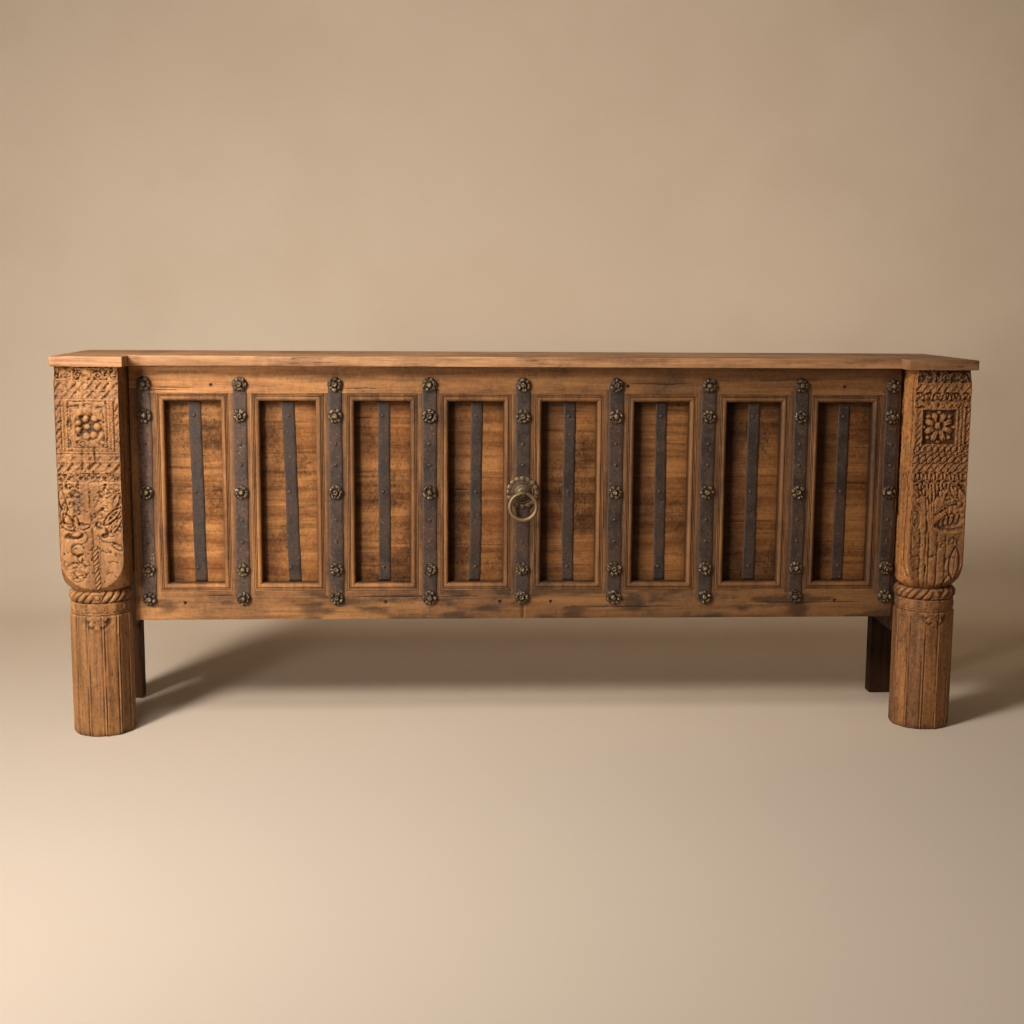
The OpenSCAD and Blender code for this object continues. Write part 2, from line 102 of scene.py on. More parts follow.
def window(a, b, soft, x):
    return step(a - soft, a + soft, x) * (1 - step(b - soft, b + soft, x))


def bell(x, w):
    return np.exp(-(x / w) ** 2)


def dome_of(x):
    """Half circle: 1 at 0, and 0 from 1 on"""
    return np.sqrt(unit(1 - x ** 2))


def blur(h, n):
    k = np.ones(2 * n + 1) / (2 * n + 1)
    for _ in range(2):
        p = np.pad(h, ((n, n), (n, n)), mode="edge")
        p = np.apply_along_axis(lambda r: np.convolve(r, k, "valid"), 0, p)
        h = np.apply_along_axis(lambda r: np.convolve(r, k, "valid"), 1, p)
    return h


def rightward(x):
    """0 at the left end of the door to 1 near its right end, for painted shade: the wood is coloured darker
    towards the right, where the lamps' light falls off
    """
    return unit((x + 900) / 1500) ** 0.8


# Meshes

def box_mm(node):
    return [np.array(p) * 1000 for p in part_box(node)]


def add_mesh(name, verts, faces, mat, stands_for=(), attrs=None, body="console"):
    """verts in mm, faces as a list of arrays of one size each"""
    me = bpy.data.meshes.new(name)
    v = np.asarray(verts, dtype=np.float32).reshape(-1, 3) * 0.001
    loops, starts, at = [], [], 0
    for f in faces:
        f = np.asarray(f, dtype=np.int32)
        loops.append(f.ravel())
        starts.append(at + np.arange(len(f)) * f.shape[1])
        at += f.size
    loops, starts = np.concatenate(loops), np.concatenate(starts)
    me.vertices.add(len(v))
    me.vertices.foreach_set("co", v.ravel())
    me.loops.add(len(loops))
    me.loops.foreach_set("vertex_index", loops.astype(np.int32))
    me.polygons.add(len(starts))
    me.polygons.foreach_set("loop_start", starts.astype(np.int32))
    me.update(calc_edges=True)
    me.validate()
    me.polygons.foreach_set("use_smooth", np.ones(len(me.polygons), dtype=bool))
    for key, val in (attrs or {}).items():
        a = me.attributes.new(key, "FLOAT", "POINT")
        a.data.foreach_set("value", np.asarray(val, dtype=np.float32).ravel())
    me.materials.append(mat)
    ob = bpy.data.objects.new(name, me)
    SCENE.collection.objects.link(ob)
    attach(ob, body)
    if stands_for:
        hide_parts(*stands_for)
    return ob


def sheet_quads(nr, nc, base=0, wrap=False, flip=False):
    r, c = np.meshgrid(np.arange(nr - 1), np.arange(nc if wrap else nc - 1), indexing="ij")
    a = base + r * nc + c
    b = base + r * nc + (c + 1) % nc
    q = np.stack([a, b, b + nc, a + nc], -1).reshape(-1, 4)
    return q[:, ::-1] if flip else q


def tube_faces(nr, nc, base=0):
    """nr rings of nc points, closed by fans to the two points that follow them"""
    a = np.arange(nc)
    b = (a + 1) % nc
    last = (nr - 1) * nc
    fans = [np.stack([b, a, np.full(nc, nr * nc)], -1),
            np.stack([last + a, last + b, np.full(nc, nr * nc + 1)], -1)]
    return [sheet_quads(nr, nc, base, wrap=True), np.concatenate(fans) + base]


def spaced(a, b, gap, fine):
    """Grid lines from a to b, with the fine ones kept and the others clear of them"""
    pts = np.linspace(a, b, max(2, int(round((b - a) / gap))) + 1)
    keep = {a, b, *fine}
    for e in EDGE_LINES:
        keep |= {a + e, b - e}
    keep = [k for k in sorted(keep) if a <= k <= b]
    pts = [p for p in pts if min(abs(p - k) for k in keep) > 0.7 * min(gap, 2.5)]
    out = sorted(pts + keep)
    res = [out[0]]
    for p in out[1:]:
        if p - res[-1] > 0.25:
            res.append(p)
    return np.array(res)


def box_grid(xs, ys, zs):
    m = np.zeros((len(xs), len(ys), len(zs)), dtype=bool)
    m[[0, -1]] = True
    m[:, [0, -1]] = True
    m[:, :, [0, -1]] = True
    idx = np.full(m.shape, -1)
    idx[m] = np.arange(m.sum())
    i, j, k = np.nonzero(m)

    def quads(g, flip):
        q = np.stack([g[:-1, :-1], g[1:, :-1], g[1:, 1:], g[:-1, 1:]], -1).reshape(-1, 4)
        return q[:, ::-1] if flip else q
    f = [quads(idx[0], True), quads(idx[-1], False), quads(idx[:, 0], False), quads(idx[:, -1], True),
         quads(idx[:, :, 0], True), quads(idx[:, :, -1], False)]
    return np.stack([xs[i], ys[j], zs[k]], -1), np.concatenate(f)


def board(name, node, mat, grain, gap, r, amp, seed, tone, painted_falloff=(1.3, 0.62), box=None, shade=None,
          cracks=(), holes=(), chips=(), seams=()):
    """A worn board in the place of a box-shaped solid: eased edges, uneven faces, cracks, holes"""
    lo, hi = [np.array(p) * 1000 for p in box] if box else box_mm(node)
    across = 2 if grain == 0 else 0
    fine = [[], [], []]
    for pos, *_ in cracks:
        fine[across] += [pos - 1.3, pos, pos + 1.3]
    for hx, hz in holes:
        for s in (-1.25, -0.95, -0.75, -0.4, 0, 0.4, 0.75, 0.95, 1.25):
            fine[0].append(hx + s * HOLE_R)
            fine[2].append(hz + s * HOLE_R)
    for sx, *_ in seams:
        fine[0] += [sx - 1.1, sx, sx + 1.1]
    v, q = box_grid(*(spaced(lo[a], hi[a], gap[a], fine[a]) for a in range(3)))
    x, y, z = v.T
    mid, half = (lo + hi) / 2, (hi - lo) / 2
    squeeze = np.full(3, 1 / 30.0)
    squeeze[grain] = 1 / 260.0
    px, py, pz = (v * squeeze).T
    rr = r * (0.75 + 0.6 * np.clip(fbm(x / 45, y / 45, z / 45, seed, 3), -1, 1))
    for cx, cy, cz, cr, size in chips:
        d = np.sqrt((x - cx) ** 2 + (y - cy) ** 2 + (z - cz) ** 2)
        rr = rr + size * (1 - step(0, cr, d))
    rr = np.minimum(rr, half.min() * 0.9)
    inner = np.clip(v - mid, -(half - rr[:, None]), half - rr[:, None])
    dv = v - mid - inner
    n = dv / np.maximum(np.linalg.norm(dv, axis=1, keepdims=True), 1e-6)
    out = mid + inner + n * rr[:, None]
    wave = fbm(px, py, pz, seed + 5, 4)
    fibre = noise(px * (9 if grain else 2), py * 9, pz * (2 if grain else 9), seed + 9)
    out -= n * (amp * (0.55 + 0.45 * wave) + 0.22 * amp * (1 + fibre))[:, None]
    edge = step(0.0, 0.45, np.sort(np.abs(dv), axis=1)[:, 1] / np.maximum(rr, 0.1))
    cav = 0.25 * wave
    front = y < lo[1] + 0.01
    along = v[:, grain]
    for pos, a0, a1, dep in cracks:
        fade = 0.2 * (a1 - a0)
        win = step(a0, a0 + fade, along) * (1 - step(a1 - fade, a1, along))
        near = np.abs(v[:, across] - pos)
        sway = 1.6 * noise(along / 60, pos, 0, seed + 31) + 0.5 * noise(along / 9, pos, 0, 3)
        out[:, across] += np.where(front & (near < 1.5), sway * win, 0)
        out[:, 1] += np.where(front & (near < 0.3), dep * win, 0)
        cav = np.where(front & (near < 0.7), cav - 1.6 * win, cav)
    for sx, z0, z1, dep in seams:
        on = front & (z > z0) & (z < z1)
        out[:, 1] += np.where(on & (np.abs(x - sx) < 0.3), dep, 0)
        cav = np.where(on & (np.abs(x - sx) < 0.8), -1.6, cav)
    for hx, hz in holes:
        d = np.hypot(x - hx, z - hz)
        hollow = HOLE_D * (1 - step(0.7 * HOLE_R, 0.97 * HOLE_R, d))
        out[:, 1] += np.where(front & (d < HOLE_R * 0.97), hollow, 0)
        cav = np.where(front & (d < HOLE_R * 1.05), -2.2, cav)
    # painted shade: the tone goes from the first falloff value at the left to the second at the right, darker
    # where the lamps' light falls off
    tone = tone * painted_falloff[0] * (painted_falloff[1] / painted_falloff[0]) ** rightward(x)
    if shade is not None:
        tone = tone * shade(v)
    tone = tone * (1 + 0.10 * fbm(px * 0.7, py * 0.7, pz * 0.7, seed + 40, 3))
    return add_mesh(name, out, [q], mat, [node] if node else (),
                    {"tone": tone, "cav": cav, "edge": edge})


# Materials

class Mat:
    """A Principled material and short calls for its nodes"""

    def __init__(self, name):
        self.m = bpy.data.materials.new(name)
        self.m.use_nodes = True
        self.t = self.m.node_tree
        self.t.nodes.clear()
        self.out = self.node("OutputMaterial")
        self.b = self.node("BsdfPrincipled")
        self.t.links.new(self.b.outputs[0], self.out.inputs[0])
        self.co = self.node("TexCoord").outputs["Object"]

    def node(self, kind, *values):
        n = self.t.nodes.new("ShaderNode" + kind)
        for sock, val in zip(n.inputs, values):
            self.put(sock, val)
        return n

    def put(self, sock, val):
        if isinstance(sock, str):
            sock = self.b.inputs[sock]
        if isinstance(val, bpy.types.NodeSocket):
            self.t.links.new(val, sock)
        elif isinstance(val, tuple) and len(val) == 3 and sock.type == "RGBA":
            sock.default_value = (*val, 1)
        else:
            sock.default_value = val

    def math(self, op, a, b=0.0):
        n = self.node("Math", a, b)
        n.operation = op
        return n.outputs[0]

    def times(self, a, b):
        return self.math("MULTIPLY", a, b)

    def mix(self, f, a, b):
        n = self.node("Mix")
        n.data_type = "RGBA"
        for i, val in ((0, f), (6, a), (7, b)):
            self.put(n.inputs[i], val)
        return n.outputs[2]

    def tint(self, col, mask, amount, colour):
        return self.mix(self.times(mask, amount), col, colour)

    def scaled(self, col, f):
        n = self.node("VectorMath")
        n.operation = "SCALE"
        self.put(n.inputs[0], col)
        self.put(n.inputs["Scale"], f)
        return n.outputs[0]

    def lin(self, f, lo, hi, a=0.0, b=1.0):
        n = self.node("MapRange")
        n.interpolation_type = "SMOOTHSTEP"
        for sock, val in zip(n.inputs, (f, lo, hi, a, b)):
            self.put(sock, val)
        return n.outputs[0]

    def place(self, scale, shift):
        n = self.node("Mapping", self.co, shift)
        n.inputs[3].default_value = scale
        return n.outputs[0]

    def noise(self, scale, shift, detail, rough, warp=0.0):
        n = self.node("TexNoise")
        self.put(n.inputs["Vector"], self.place(scale, shift))
        for key, val in (("Scale", 1), ("Detail", detail), ("Roughness", rough), ("Distortion", warp)):
            n.inputs[key].default_value = val
        return n.outputs[0]

    def cells(self, scale, shift):
        n = self.node("TexVoronoi")
        self.put(n.inputs["Vector"], self.place(scale, shift))
        n.inputs["Scale"].default_value = 1
        return n.outputs["Distance"]

    def attr(self, name):
        n = self.node("Attribute")
        n.attribute_name = name
        return n.outputs["Fac"]

    def bump(self, h, dist, strength, below=None):
        n = self.node("Bump")
        n.inputs["Strength"].default_value = strength
        n.inputs["Distance"].default_value = dist
        self.put(n.inputs["Height"], h)
        if below is not None:
            self.put(n.inputs["Normal"], below)
        return n.outputs[0]


def rgb(r, g, b):
    """Linear colour from display values of 0 to 255"""
    return tuple(((c / 255) / 12.92 if c <= 10 else ((c / 255 + 0.055) / 1.055) ** 2.4) for c in (r, g, b))


def by(colour, k):
    return tuple(min(1, c * k) for c in colour)


def wood(name, grain, colours, stained, shift=(0, 0, 0), sawn=0.0, cavity=1.0, crack=1.0, pit=0.1, mottle=0.0,
         spec=0.3):
    """Old wood: colours are pale, mid, dark and stain, and grain is the axis that the fibres follow"""
    pale, mid, dark, stain = (rgb(*c) for c in colours)
    m = Mat(name)

    def moved(dx, dy, dz):
        return shift[0] + dx, shift[1] + dy, shift[2] + dz

    def grained(along, across, move, *look):
        s = [across] * 3
        s[grain] = along
        return m.noise(tuple(s), moved(*move), *look)
    broad = grained(1.6, 17, (0, 0, 0), 5, 0.6, 0.5)
    rings = grained(2.2, 62, (0, 0, 0), 3, 0.6, 1.2)
    fibre = grained(16, 520, (0, 0, 0), 3, 0.7)
    pore = grained(34, 900, (3, 0, 0), 2, 0.5)
    ridge = grained(1.1, 26, (11, 5, 1), 4, 0.6, 0.9)
    streak = grained(3.2, 44, (5, 3, 8), 6, 0.72, 0.6)
    cloud = m.noise((5.2, 5.2, 5.2), moved(7, 2, 0), 6, 0.62, 0.4)
    fine = m.noise((70, 70, 70), shift, 4, 0.6)
    line = m.math("SUBTRACT", 1.0, m.lin(m.math("ABSOLUTE", m.math("SUBTRACT", ridge, 0.5)), 0.0, 0.008))
    line = m.times(line, m.lin(cloud, 0.5, 0.62))
    col = m.mix(m.lin(broad, 0.33, 0.66), mid, pale)
    for mask, amount, colour in ((m.lin(rings, 0.45, 0.72), 0.6, dark),
                                 (m.lin(fibre, 0.48, 0.78), 0.42, dark),
                                 (m.lin(cloud, 0.47, 0.72), stained, stain),
                                 (m.lin(streak, 0.5, 0.74), 0.6, by(dark, 0.62)),
                                 (m.lin(pore, 0.62, 0.74), 0.5, by(dark, 0.35)),
                                 (m.lin(fine, 0.35, 0.7), 0.12, by(pale, 1.5)),
                                 (line, 0.8 * crack, by(dark, 0.16))):
        col = m.tint(col, mask, amount, colour)
    if mottle:
        grit = m.noise((150, 150, 110), moved(2, 9, 0), 4, 0.62, 0.3)
        col = m.tint(col, m.lin(grit, 0.5, 0.72), mottle, by(dark, 0.75))
        col = m.tint(col, m.lin(grit, 0.46, 0.28), mottle * 0.7, by(pale, 1.3))
    h = m.math("ADD", m.times(fibre, 0.55), m.times(rings, 0.6))
    h = m.math("ADD", h, m.times(line, -1.2 * crack))
    if sawn:
        # rough saw marks across the planks
        marks = m.noise((260, 260, 120), shift, 3, 0.6, 0.4)
        speck = m.times(m.lin(marks, 0.52, 0.7), m.lin(cloud, 0.4, 0.62))
        col = m.tint(col, speck, sawn, by(dark, 0.3))
        h = m.math("ADD", h, m.times(marks, 0.5))
    # dirt and painted shade in the hollows, rubbed high spots and edges; where the edge mark runs along a
    # shaft's arrises it is a painted highlight
    cav = m.attr("cav")
    col = m.tint(col, m.lin(cav, -0.02, -1.25), 0.95 * cavity, by(dark, pit))
    col = m.tint(col, m.lin(cav, 0.15, 1.1), 0.35, by(pale, 1.25))
    col = m.tint(col, m.attr("edge"), m.lin(cloud, 0.38, 0.55, 0.5, 0.12), by(pale, 1.2))
    m.put("Base Color", m.scaled(col, m.attr("tone")))
    m.put("Roughness", m.lin(m.math("ADD", cloud, m.times(fibre, 0.4)), 0.4, 0.95, 0.45, 0.75))
    m.put("Specular IOR Level", spec)
    m.put("Normal", m.bump(h, 0.0011, 0.7, m.bump(fine, 0.0009, 0.35)))
    return m.m


W_TOP = wood("wood_top", 0, ((172, 127, 87), (136, 94, 59), (86, 51, 26), (72, 51, 36)), 0.55)
W_POST = wood("wood_post", 2, ((152, 107, 62), (118, 77, 41), (74, 44, 21), (66, 46, 33)), 0.6,
              crack=0.6, cavity=0.9, pit=0.28, mottle=0.55)
W_POST_R = wood("wood_post_right", 2, ((144, 98, 56), (112, 72, 37), (72, 42, 19), (62, 45, 30)), 0.6,
                (4, 1, 2), crack=0.75, cavity=0.8, pit=0.4, mottle=0.85)
W_RAIL = wood("wood_rail", 0, ((154, 107, 61), (118, 77, 40), (70, 41, 18), (58, 42, 31)), 0.75, (1, 3, 5),
              crack=0.6, mottle=0.3)
W_BAR = wood("wood_bar", 2, ((144, 100, 57), (110, 71, 37), (66, 39, 18), (54, 38, 27)), 0.7, (2, 6, 1),
             crack=0.6, mottle=0.3)
W_MOULD = wood("wood_moulding", 2, ((148, 101, 56), (110, 70, 36), (64, 37, 17), (52, 35, 23)), 0.65,
               (6, 2, 3), crack=0.5, mottle=0.3)
W_PANEL = wood("wood_panel", 0, ((158, 108, 62), (108, 65, 31), (54, 27, 9), (34, 19, 8)), 0.8, (3, 3, 8),
               sawn=0.7, crack=0.6, mottle=0.35, spec=0.1)
W_BACK = wood("wood_back", 2, ((84, 55, 35), (56, 35, 21), (28, 17, 11), (16, 12, 9)), 0.8, (9, 2, 2),
              spec=0.08)
W_BACKX = wood("wood_back_long", 0, ((92, 61, 38), (64, 40, 24), (34, 20, 13), (20, 15, 12)), 0.75, (5, 9, 2),
               spec=0.08)


def iron():
    m = Mat("iron")
    a = m.noise((26, 26, 26), (0, 0, 0), 6, 0.65, 0.3)
    b = m.noise((7, 7, 7), (4, 1, 2), 5, 0.6, 0.6)
    c = m.noise((160, 160, 160), (1, 5, 2), 4, 0.6)
    spot = m.times(m.lin(m.cells((95, 95, 95), (2, 2, 7)), 0.16, 0.05), m.lin(a, 0.5, 0.6))
    col = m.mix(m.lin(a, 0.36, 0.66), rgb(37, 26, 19), rgb(66, 48, 36))
    for mask, amount, colour in ((m.lin(b, 0.5, 0.68), 0.7, (70, 41, 27)),
                                 (m.lin(c, 0.52, 0.68), 0.75, (20, 15, 12)),
                                 (m.lin(c, 0.46, 0.3), 0.45, (104, 80, 61)), (spot, 0.85, (150, 124, 98)),
                                 (m.attr("edge"), 0.35, (96, 76, 61))):
        col = m.tint(col, mask, amount, rgb(*colour))
    m.put("Base Color", m.scaled(col, m.attr("tone")))
    m.put("Metallic", 0.3)
    m.put("Roughness", m.lin(a, 0.3, 0.7, 0.5, 0.75))
    m.put("Normal", m.bump(m.math("ADD", a, m.times(c, 0.35)), 0.0012, 0.6))
    return m.m


def brass():
    m = Mat("brass")
    a = m.noise((45, 45, 45), (0, 0, 0), 5, 0.6, 0.3)
    c = m.noise((260, 260, 260), (1, 5, 2), 3, 0.6)
    cav = m.attr("cav")
    col = m.mix(m.lin(a, 0.34, 0.66), rgb(66, 52, 37), rgb(104, 85, 61))
    for mask, amount, colour in ((m.lin(c, 0.5, 0.7), 0.4, (58, 46, 31)),
                                 (m.lin(cav, 0.2, -0.9), 0.92, (30, 23, 16)),
                                 (m.lin(cav, 0.5, 1.6), 0.5, (142, 118, 82))):
        col = m.tint(col, mask, amount, rgb(*colour))
    m.put("Base Color", col)
    m.put("Metallic", 0.6)
    m.put("Roughness", m.lin(a, 0.3, 0.7, 0.36, 0.58))
    m.put("Normal", m.bump(m.math("ADD", a, m.times(c, 0.5)), 0.0006, 0.5))
    return m.m


IRON, BRASS = iron(), brass()


# Carving tools. u runs across a face and z up it, in mm, h is the relief in mm above the face.

class Relief:
    def __init__(self, u, z, seed):
        self.u, self.z = np.meshgrid(u, z)
        self.h = np.zeros_like(self.u)
        self.grey = np.zeros_like(self.u)
        self.seed = seed
        # hand-cut lines waver, and their depth varies
        self.U = self.u + 1.1 * self.rough(14, 14, 3, 3)
        self.Z = self.z + 1.1 * self.rough(14, 14, 4, 3, 9)
        self.vary = unit(0.42 + 1.25 * self.rough(13, 13, 6, 3, 4))

    def rough(self, du, dz, seed, octaves, layer=0):
        return fbm(self.u / du, self.z / dz, layer, self.seed + seed, octaves)

    def line(self, pts):
        d = np.full_like(self.u, 1e9)
        for (x0, z0), (x1, z1) in zip(pts[:-1], pts[1:]):
            dx, dz = x1 - x0, z1 - z0
            t = unit(((self.U - x0) * dx + (self.Z - z0) * dz) / max(dx * dx + dz * dz, 1e-9))
            d = np.minimum(d, np.hypot(self.U - x0 - t * dx, self.Z - z0 - t * dz))
        return d

    def along(self, x, z, c, s):
        return (self.U - x) * c + (self.Z - z) * s, (self.Z - z) * c - (self.U - x) * s

    def oval(self, x, z, a, b, ang):
        t = math.radians(ang)
        p, q = self.along(x, z, math.cos(t), math.sin(t))
        return p / a, q / b

    def cut(self, w, dep, *pts):
        d = self.line(pts)
        self.h -= dep * (0.22 + 0.7 * self.vary) * bell(d, w * (0.95 + 0.75 * self.vary))
        self.h -= 0.3 * dep * bell(d, 3.2 * w)

    def rib(self, w, top, *pts):
        self.h += top * bell(self.line(pts), w)

    def ring(self, x, z, r, w, dep, a0=0, a1=360, squash=1.0):
        n = max(4, int(abs(a1 - a0) / 20))
        turns = [math.radians(a0 + (a1 - a0) * i / n) for i in range(n + 1)]
        self.cut(w, dep, *((x + r * math.cos(t), z + squash * r * math.sin(t)) for t in turns))

    def pit(self, x, z, a, b, dep, ang=0):
        self.h -= dep * (1 - step(0.55, 1.1, np.hypot(*self.oval(x, z, a, b, ang))))

    def dome(self, x, z, a, b, base, top, ang=0):
        p, q = self.oval(x, z, a, b, ang)
        d2 = p * p + q * q
        self.h = np.where(d2 < 1, np.maximum(self.h, base + (top - base) * np.sqrt(unit(1 - d2))), self.h)

    def leaf(self, x0, z0, x1, z1, wid, top=2.2, dep=2.6, veins=0):
        """Raised leaf with a dark outline and a midrib"""
        ln = math.hypot(x1 - x0, z1 - z0)
        p, q = self.along((x0 + x1) / 2, (z0 + z1) / 2, (x1 - x0) / ln, (z1 - z0) / ln)
        p = p / (ln / 2)
        half = wid / 2 * unit(1 - p * p) ** 0.75
        inside = (np.abs(p) < 1) & (np.abs(q) < half)
        away = np.hypot(np.clip(np.abs(q) - half, 0, None), np.clip(np.abs(p) - 1, 0, None) * ln / 2)
        self.h -= np.where(inside, 0, dep * bell(np.clip(away - 1.2, 0, None), 2.6))
        crown = dome_of(np.abs(q) / np.maximum(half, 0.3))
        self.h += np.where(inside, -0.55 * dep + (top + 0.6 * dep) * crown, 0)
        self.h -= np.where(inside, 1.7 * bell(q, 1.1), 0)
        if veins:
            wave = np.cos(2 * np.pi * (p * ln / 2 - np.abs(q) * 0.8) / veins)
            self.h -= np.where(inside, 0.9 * (0.5 + 0.5 * wave), 0)

    def band(self, z0, z1):
        return window(z0, z1, 0.6, self.z)

    def level(self, z, dep, w, u0=-99, u1=99):
        self.h -= dep * bell(self.Z - z, w) * window(u0, u1, 1, self.u)

    def slants(self, z0, z1, n, half, dep=3.6, skip=()):
        """A band of leaning cuts"""
        lean = 0.85
        zc, zh = (z0 + z1) / 2, (z1 - z0) / 2
        pitch = 2 * half / n
        self.h -= self.band(z0, z1) * 1.5 * (((self.U - (self.Z - zc) * lean + half) / pitch) % 1)
        rng = np.random.RandomState(self.seed + int(z0))
        for k in range(n):
            if k in skip:
                continue
            x = -half + pitch * (k + 0.5) + rng.uniform(-0.9, 0.9)
            e = zh * rng.uniform(0.66, 0.86)
            self.cut(1.45, dep * rng.uniform(0.75, 1.15), (x - e * lean, zc - e),
                     (x + e * lean * 0.9, zc + e))

    def scrolls(self, xs, z, dep):
        """A row of spirals that turn left and right in turn"""
        r = 9.5
        for k, x in enumerate(xs):
            du, dz = self.U - x, self.Z - z
            rad = np.hypot(du, dz)
            ang = np.arctan2(dz, du) * (1 if k % 2 else -1)
            coil = 0.5 + 0.5 * np.cos(2 * np.pi * rad / 6.4 - ang)
            self.h -= dep * coil * (1 - step(r * 0.8, r * 1.1, rad))
            self.h -= 1.6 * bell(rad - r * 1.05, 1.4)

    def crumble(self, z0, z1, amp, size, u0=-99, u1=99):
        m = self.band(z0, z1) * window(u0, u1, 2, self.u)
        self.h -= m * amp * np.clip(0.5 - 1.6 * self.rough(size, size, 51, 3), 0, 1.5)

    def rope(self, pts, w, pitch, top, dep, lean):
        """Twisted cord along a polyline"""
        for (x0, z0), (x1, z1) in zip(pts[:-1], pts[1:]):
            ln = math.hypot(x1 - x0, z1 - z0)
            p, q = self.along(x0, z0, (x1 - x0) / ln, (z1 - z0) / ln)
            here = (p > -0.5) & (p < ln + 0.5)
            twist = 0.5 + 0.5 * np.cos(2 * np.pi * (p + lean * q) / pitch)
            self.h += np.where(here & (np.abs(q) < w), top * dome_of(q / w) - dep * twist ** 3, 0)
            self.h -= np.where(here, 1.7 * bell(np.abs(q) - w, 0.9), 0)

    def sprigs(self, n, u0, u1, z0, z1, seed):
        """Small leaves in all directions that fill a field"""
        rng = np.random.RandomState(seed)
        for _ in range(n):
            x, z, a = rng.uniform(u0, u1), rng.uniform(z0, z1), rng.uniform(0, 2 * math.pi)
            ln = rng.uniform(6, 10)
            dx, dz = ln * math.cos(a), ln * math.sin(a)
            self.leaf(x - dx, z - dz, x + dx, z + dz, rng.uniform(5, 8), 0.9, 1.7)

    def done(self, wear=0.5):
        """Wear the whole face, and give its relief and its grey patches"""
        worn = 0.4 + 0.35 * step(440, 490, self.z) + 0.4 * step(600, 620, self.z)
        self.h -= 1.9 * worn * unit(self.rough(5.2, 5.2, 71, 3) + 0.12)
        self.h -= 0.9 * worn * (0.5 + 0.5 * self.rough(15, 15, 73, 2))
        self.h -= wear * (0.5 + 0.5 * self.rough(30, 60, 61, 4))
        self.h -= 0.5 * unit(self.rough(3.2, 7, 63, 2))
        self.h -= 2.2 * step(0.5, 0.75, self.rough(9, 9, 65, 2))
        return np.clip(self.h, -12, 1.6), self.grey


def each(tool, *rows):
    """Use one carving tool with each row of values"""
    for row in rows:
        tool(*row)


def bands(r, half):
    each(r.level, (842.5, 2.6, 1.1), (822.5, 2.2, 1.0), (802.5, 2.4, 1.1), (675.5, 2.6, 1.1),
         (653.5, 2.4, 1.1), (633.5, 2.2, 1.0), (610.5, 2.8, 1.2))
    r.slants(824, 841, 8, half)


def frame_lines(r, half):
    """Square frame of lines and cords round the sunk rosette"""
    for x in (half - 13.5, half - 31):
        for s in (-1, 1):
            r.cut(1.0, 2.3, (s * x, 682), (s * x, 797))
    each(r.level, (797, 1.6, 0.9, -half + 13, half - 13), (690.5, 2.2, 1.0, -half + 30, half - 30),
         (681, 2.0, 0.9, -half + 13, half - 13))
    for s in (-1, 1):
        a, b, c = s * (half - 18), s * (half - 26.5), s * (half - 6)
        r.rope([(a, 684), (a, 795)], 3.6, 6.6, 1.0, 2.2, s)
        r.rope([(b, 690), (b, 792)], 3.0, 7.4, 0.8, 2.0, -s)
        for k in range(6):
            z = 690 + k * 18
            r.cut(1.4, 3.2, (c - 4, z - 5), (c + 4, z + 6))
    for k in range(9):
        x = -half + 24 + k * (2 * half - 48) / 8
        r.cut(1.0, 1.8, (x - 2.5, 683.5), (x + 2.5, 688.5))


def chevrons(r, x0, pitch):
    for k in range(11):
        x = x0 + k * pitch
        r.cut(1.1, 2.6, (x - 5, 616), (x, 628), (x + 5, 616))


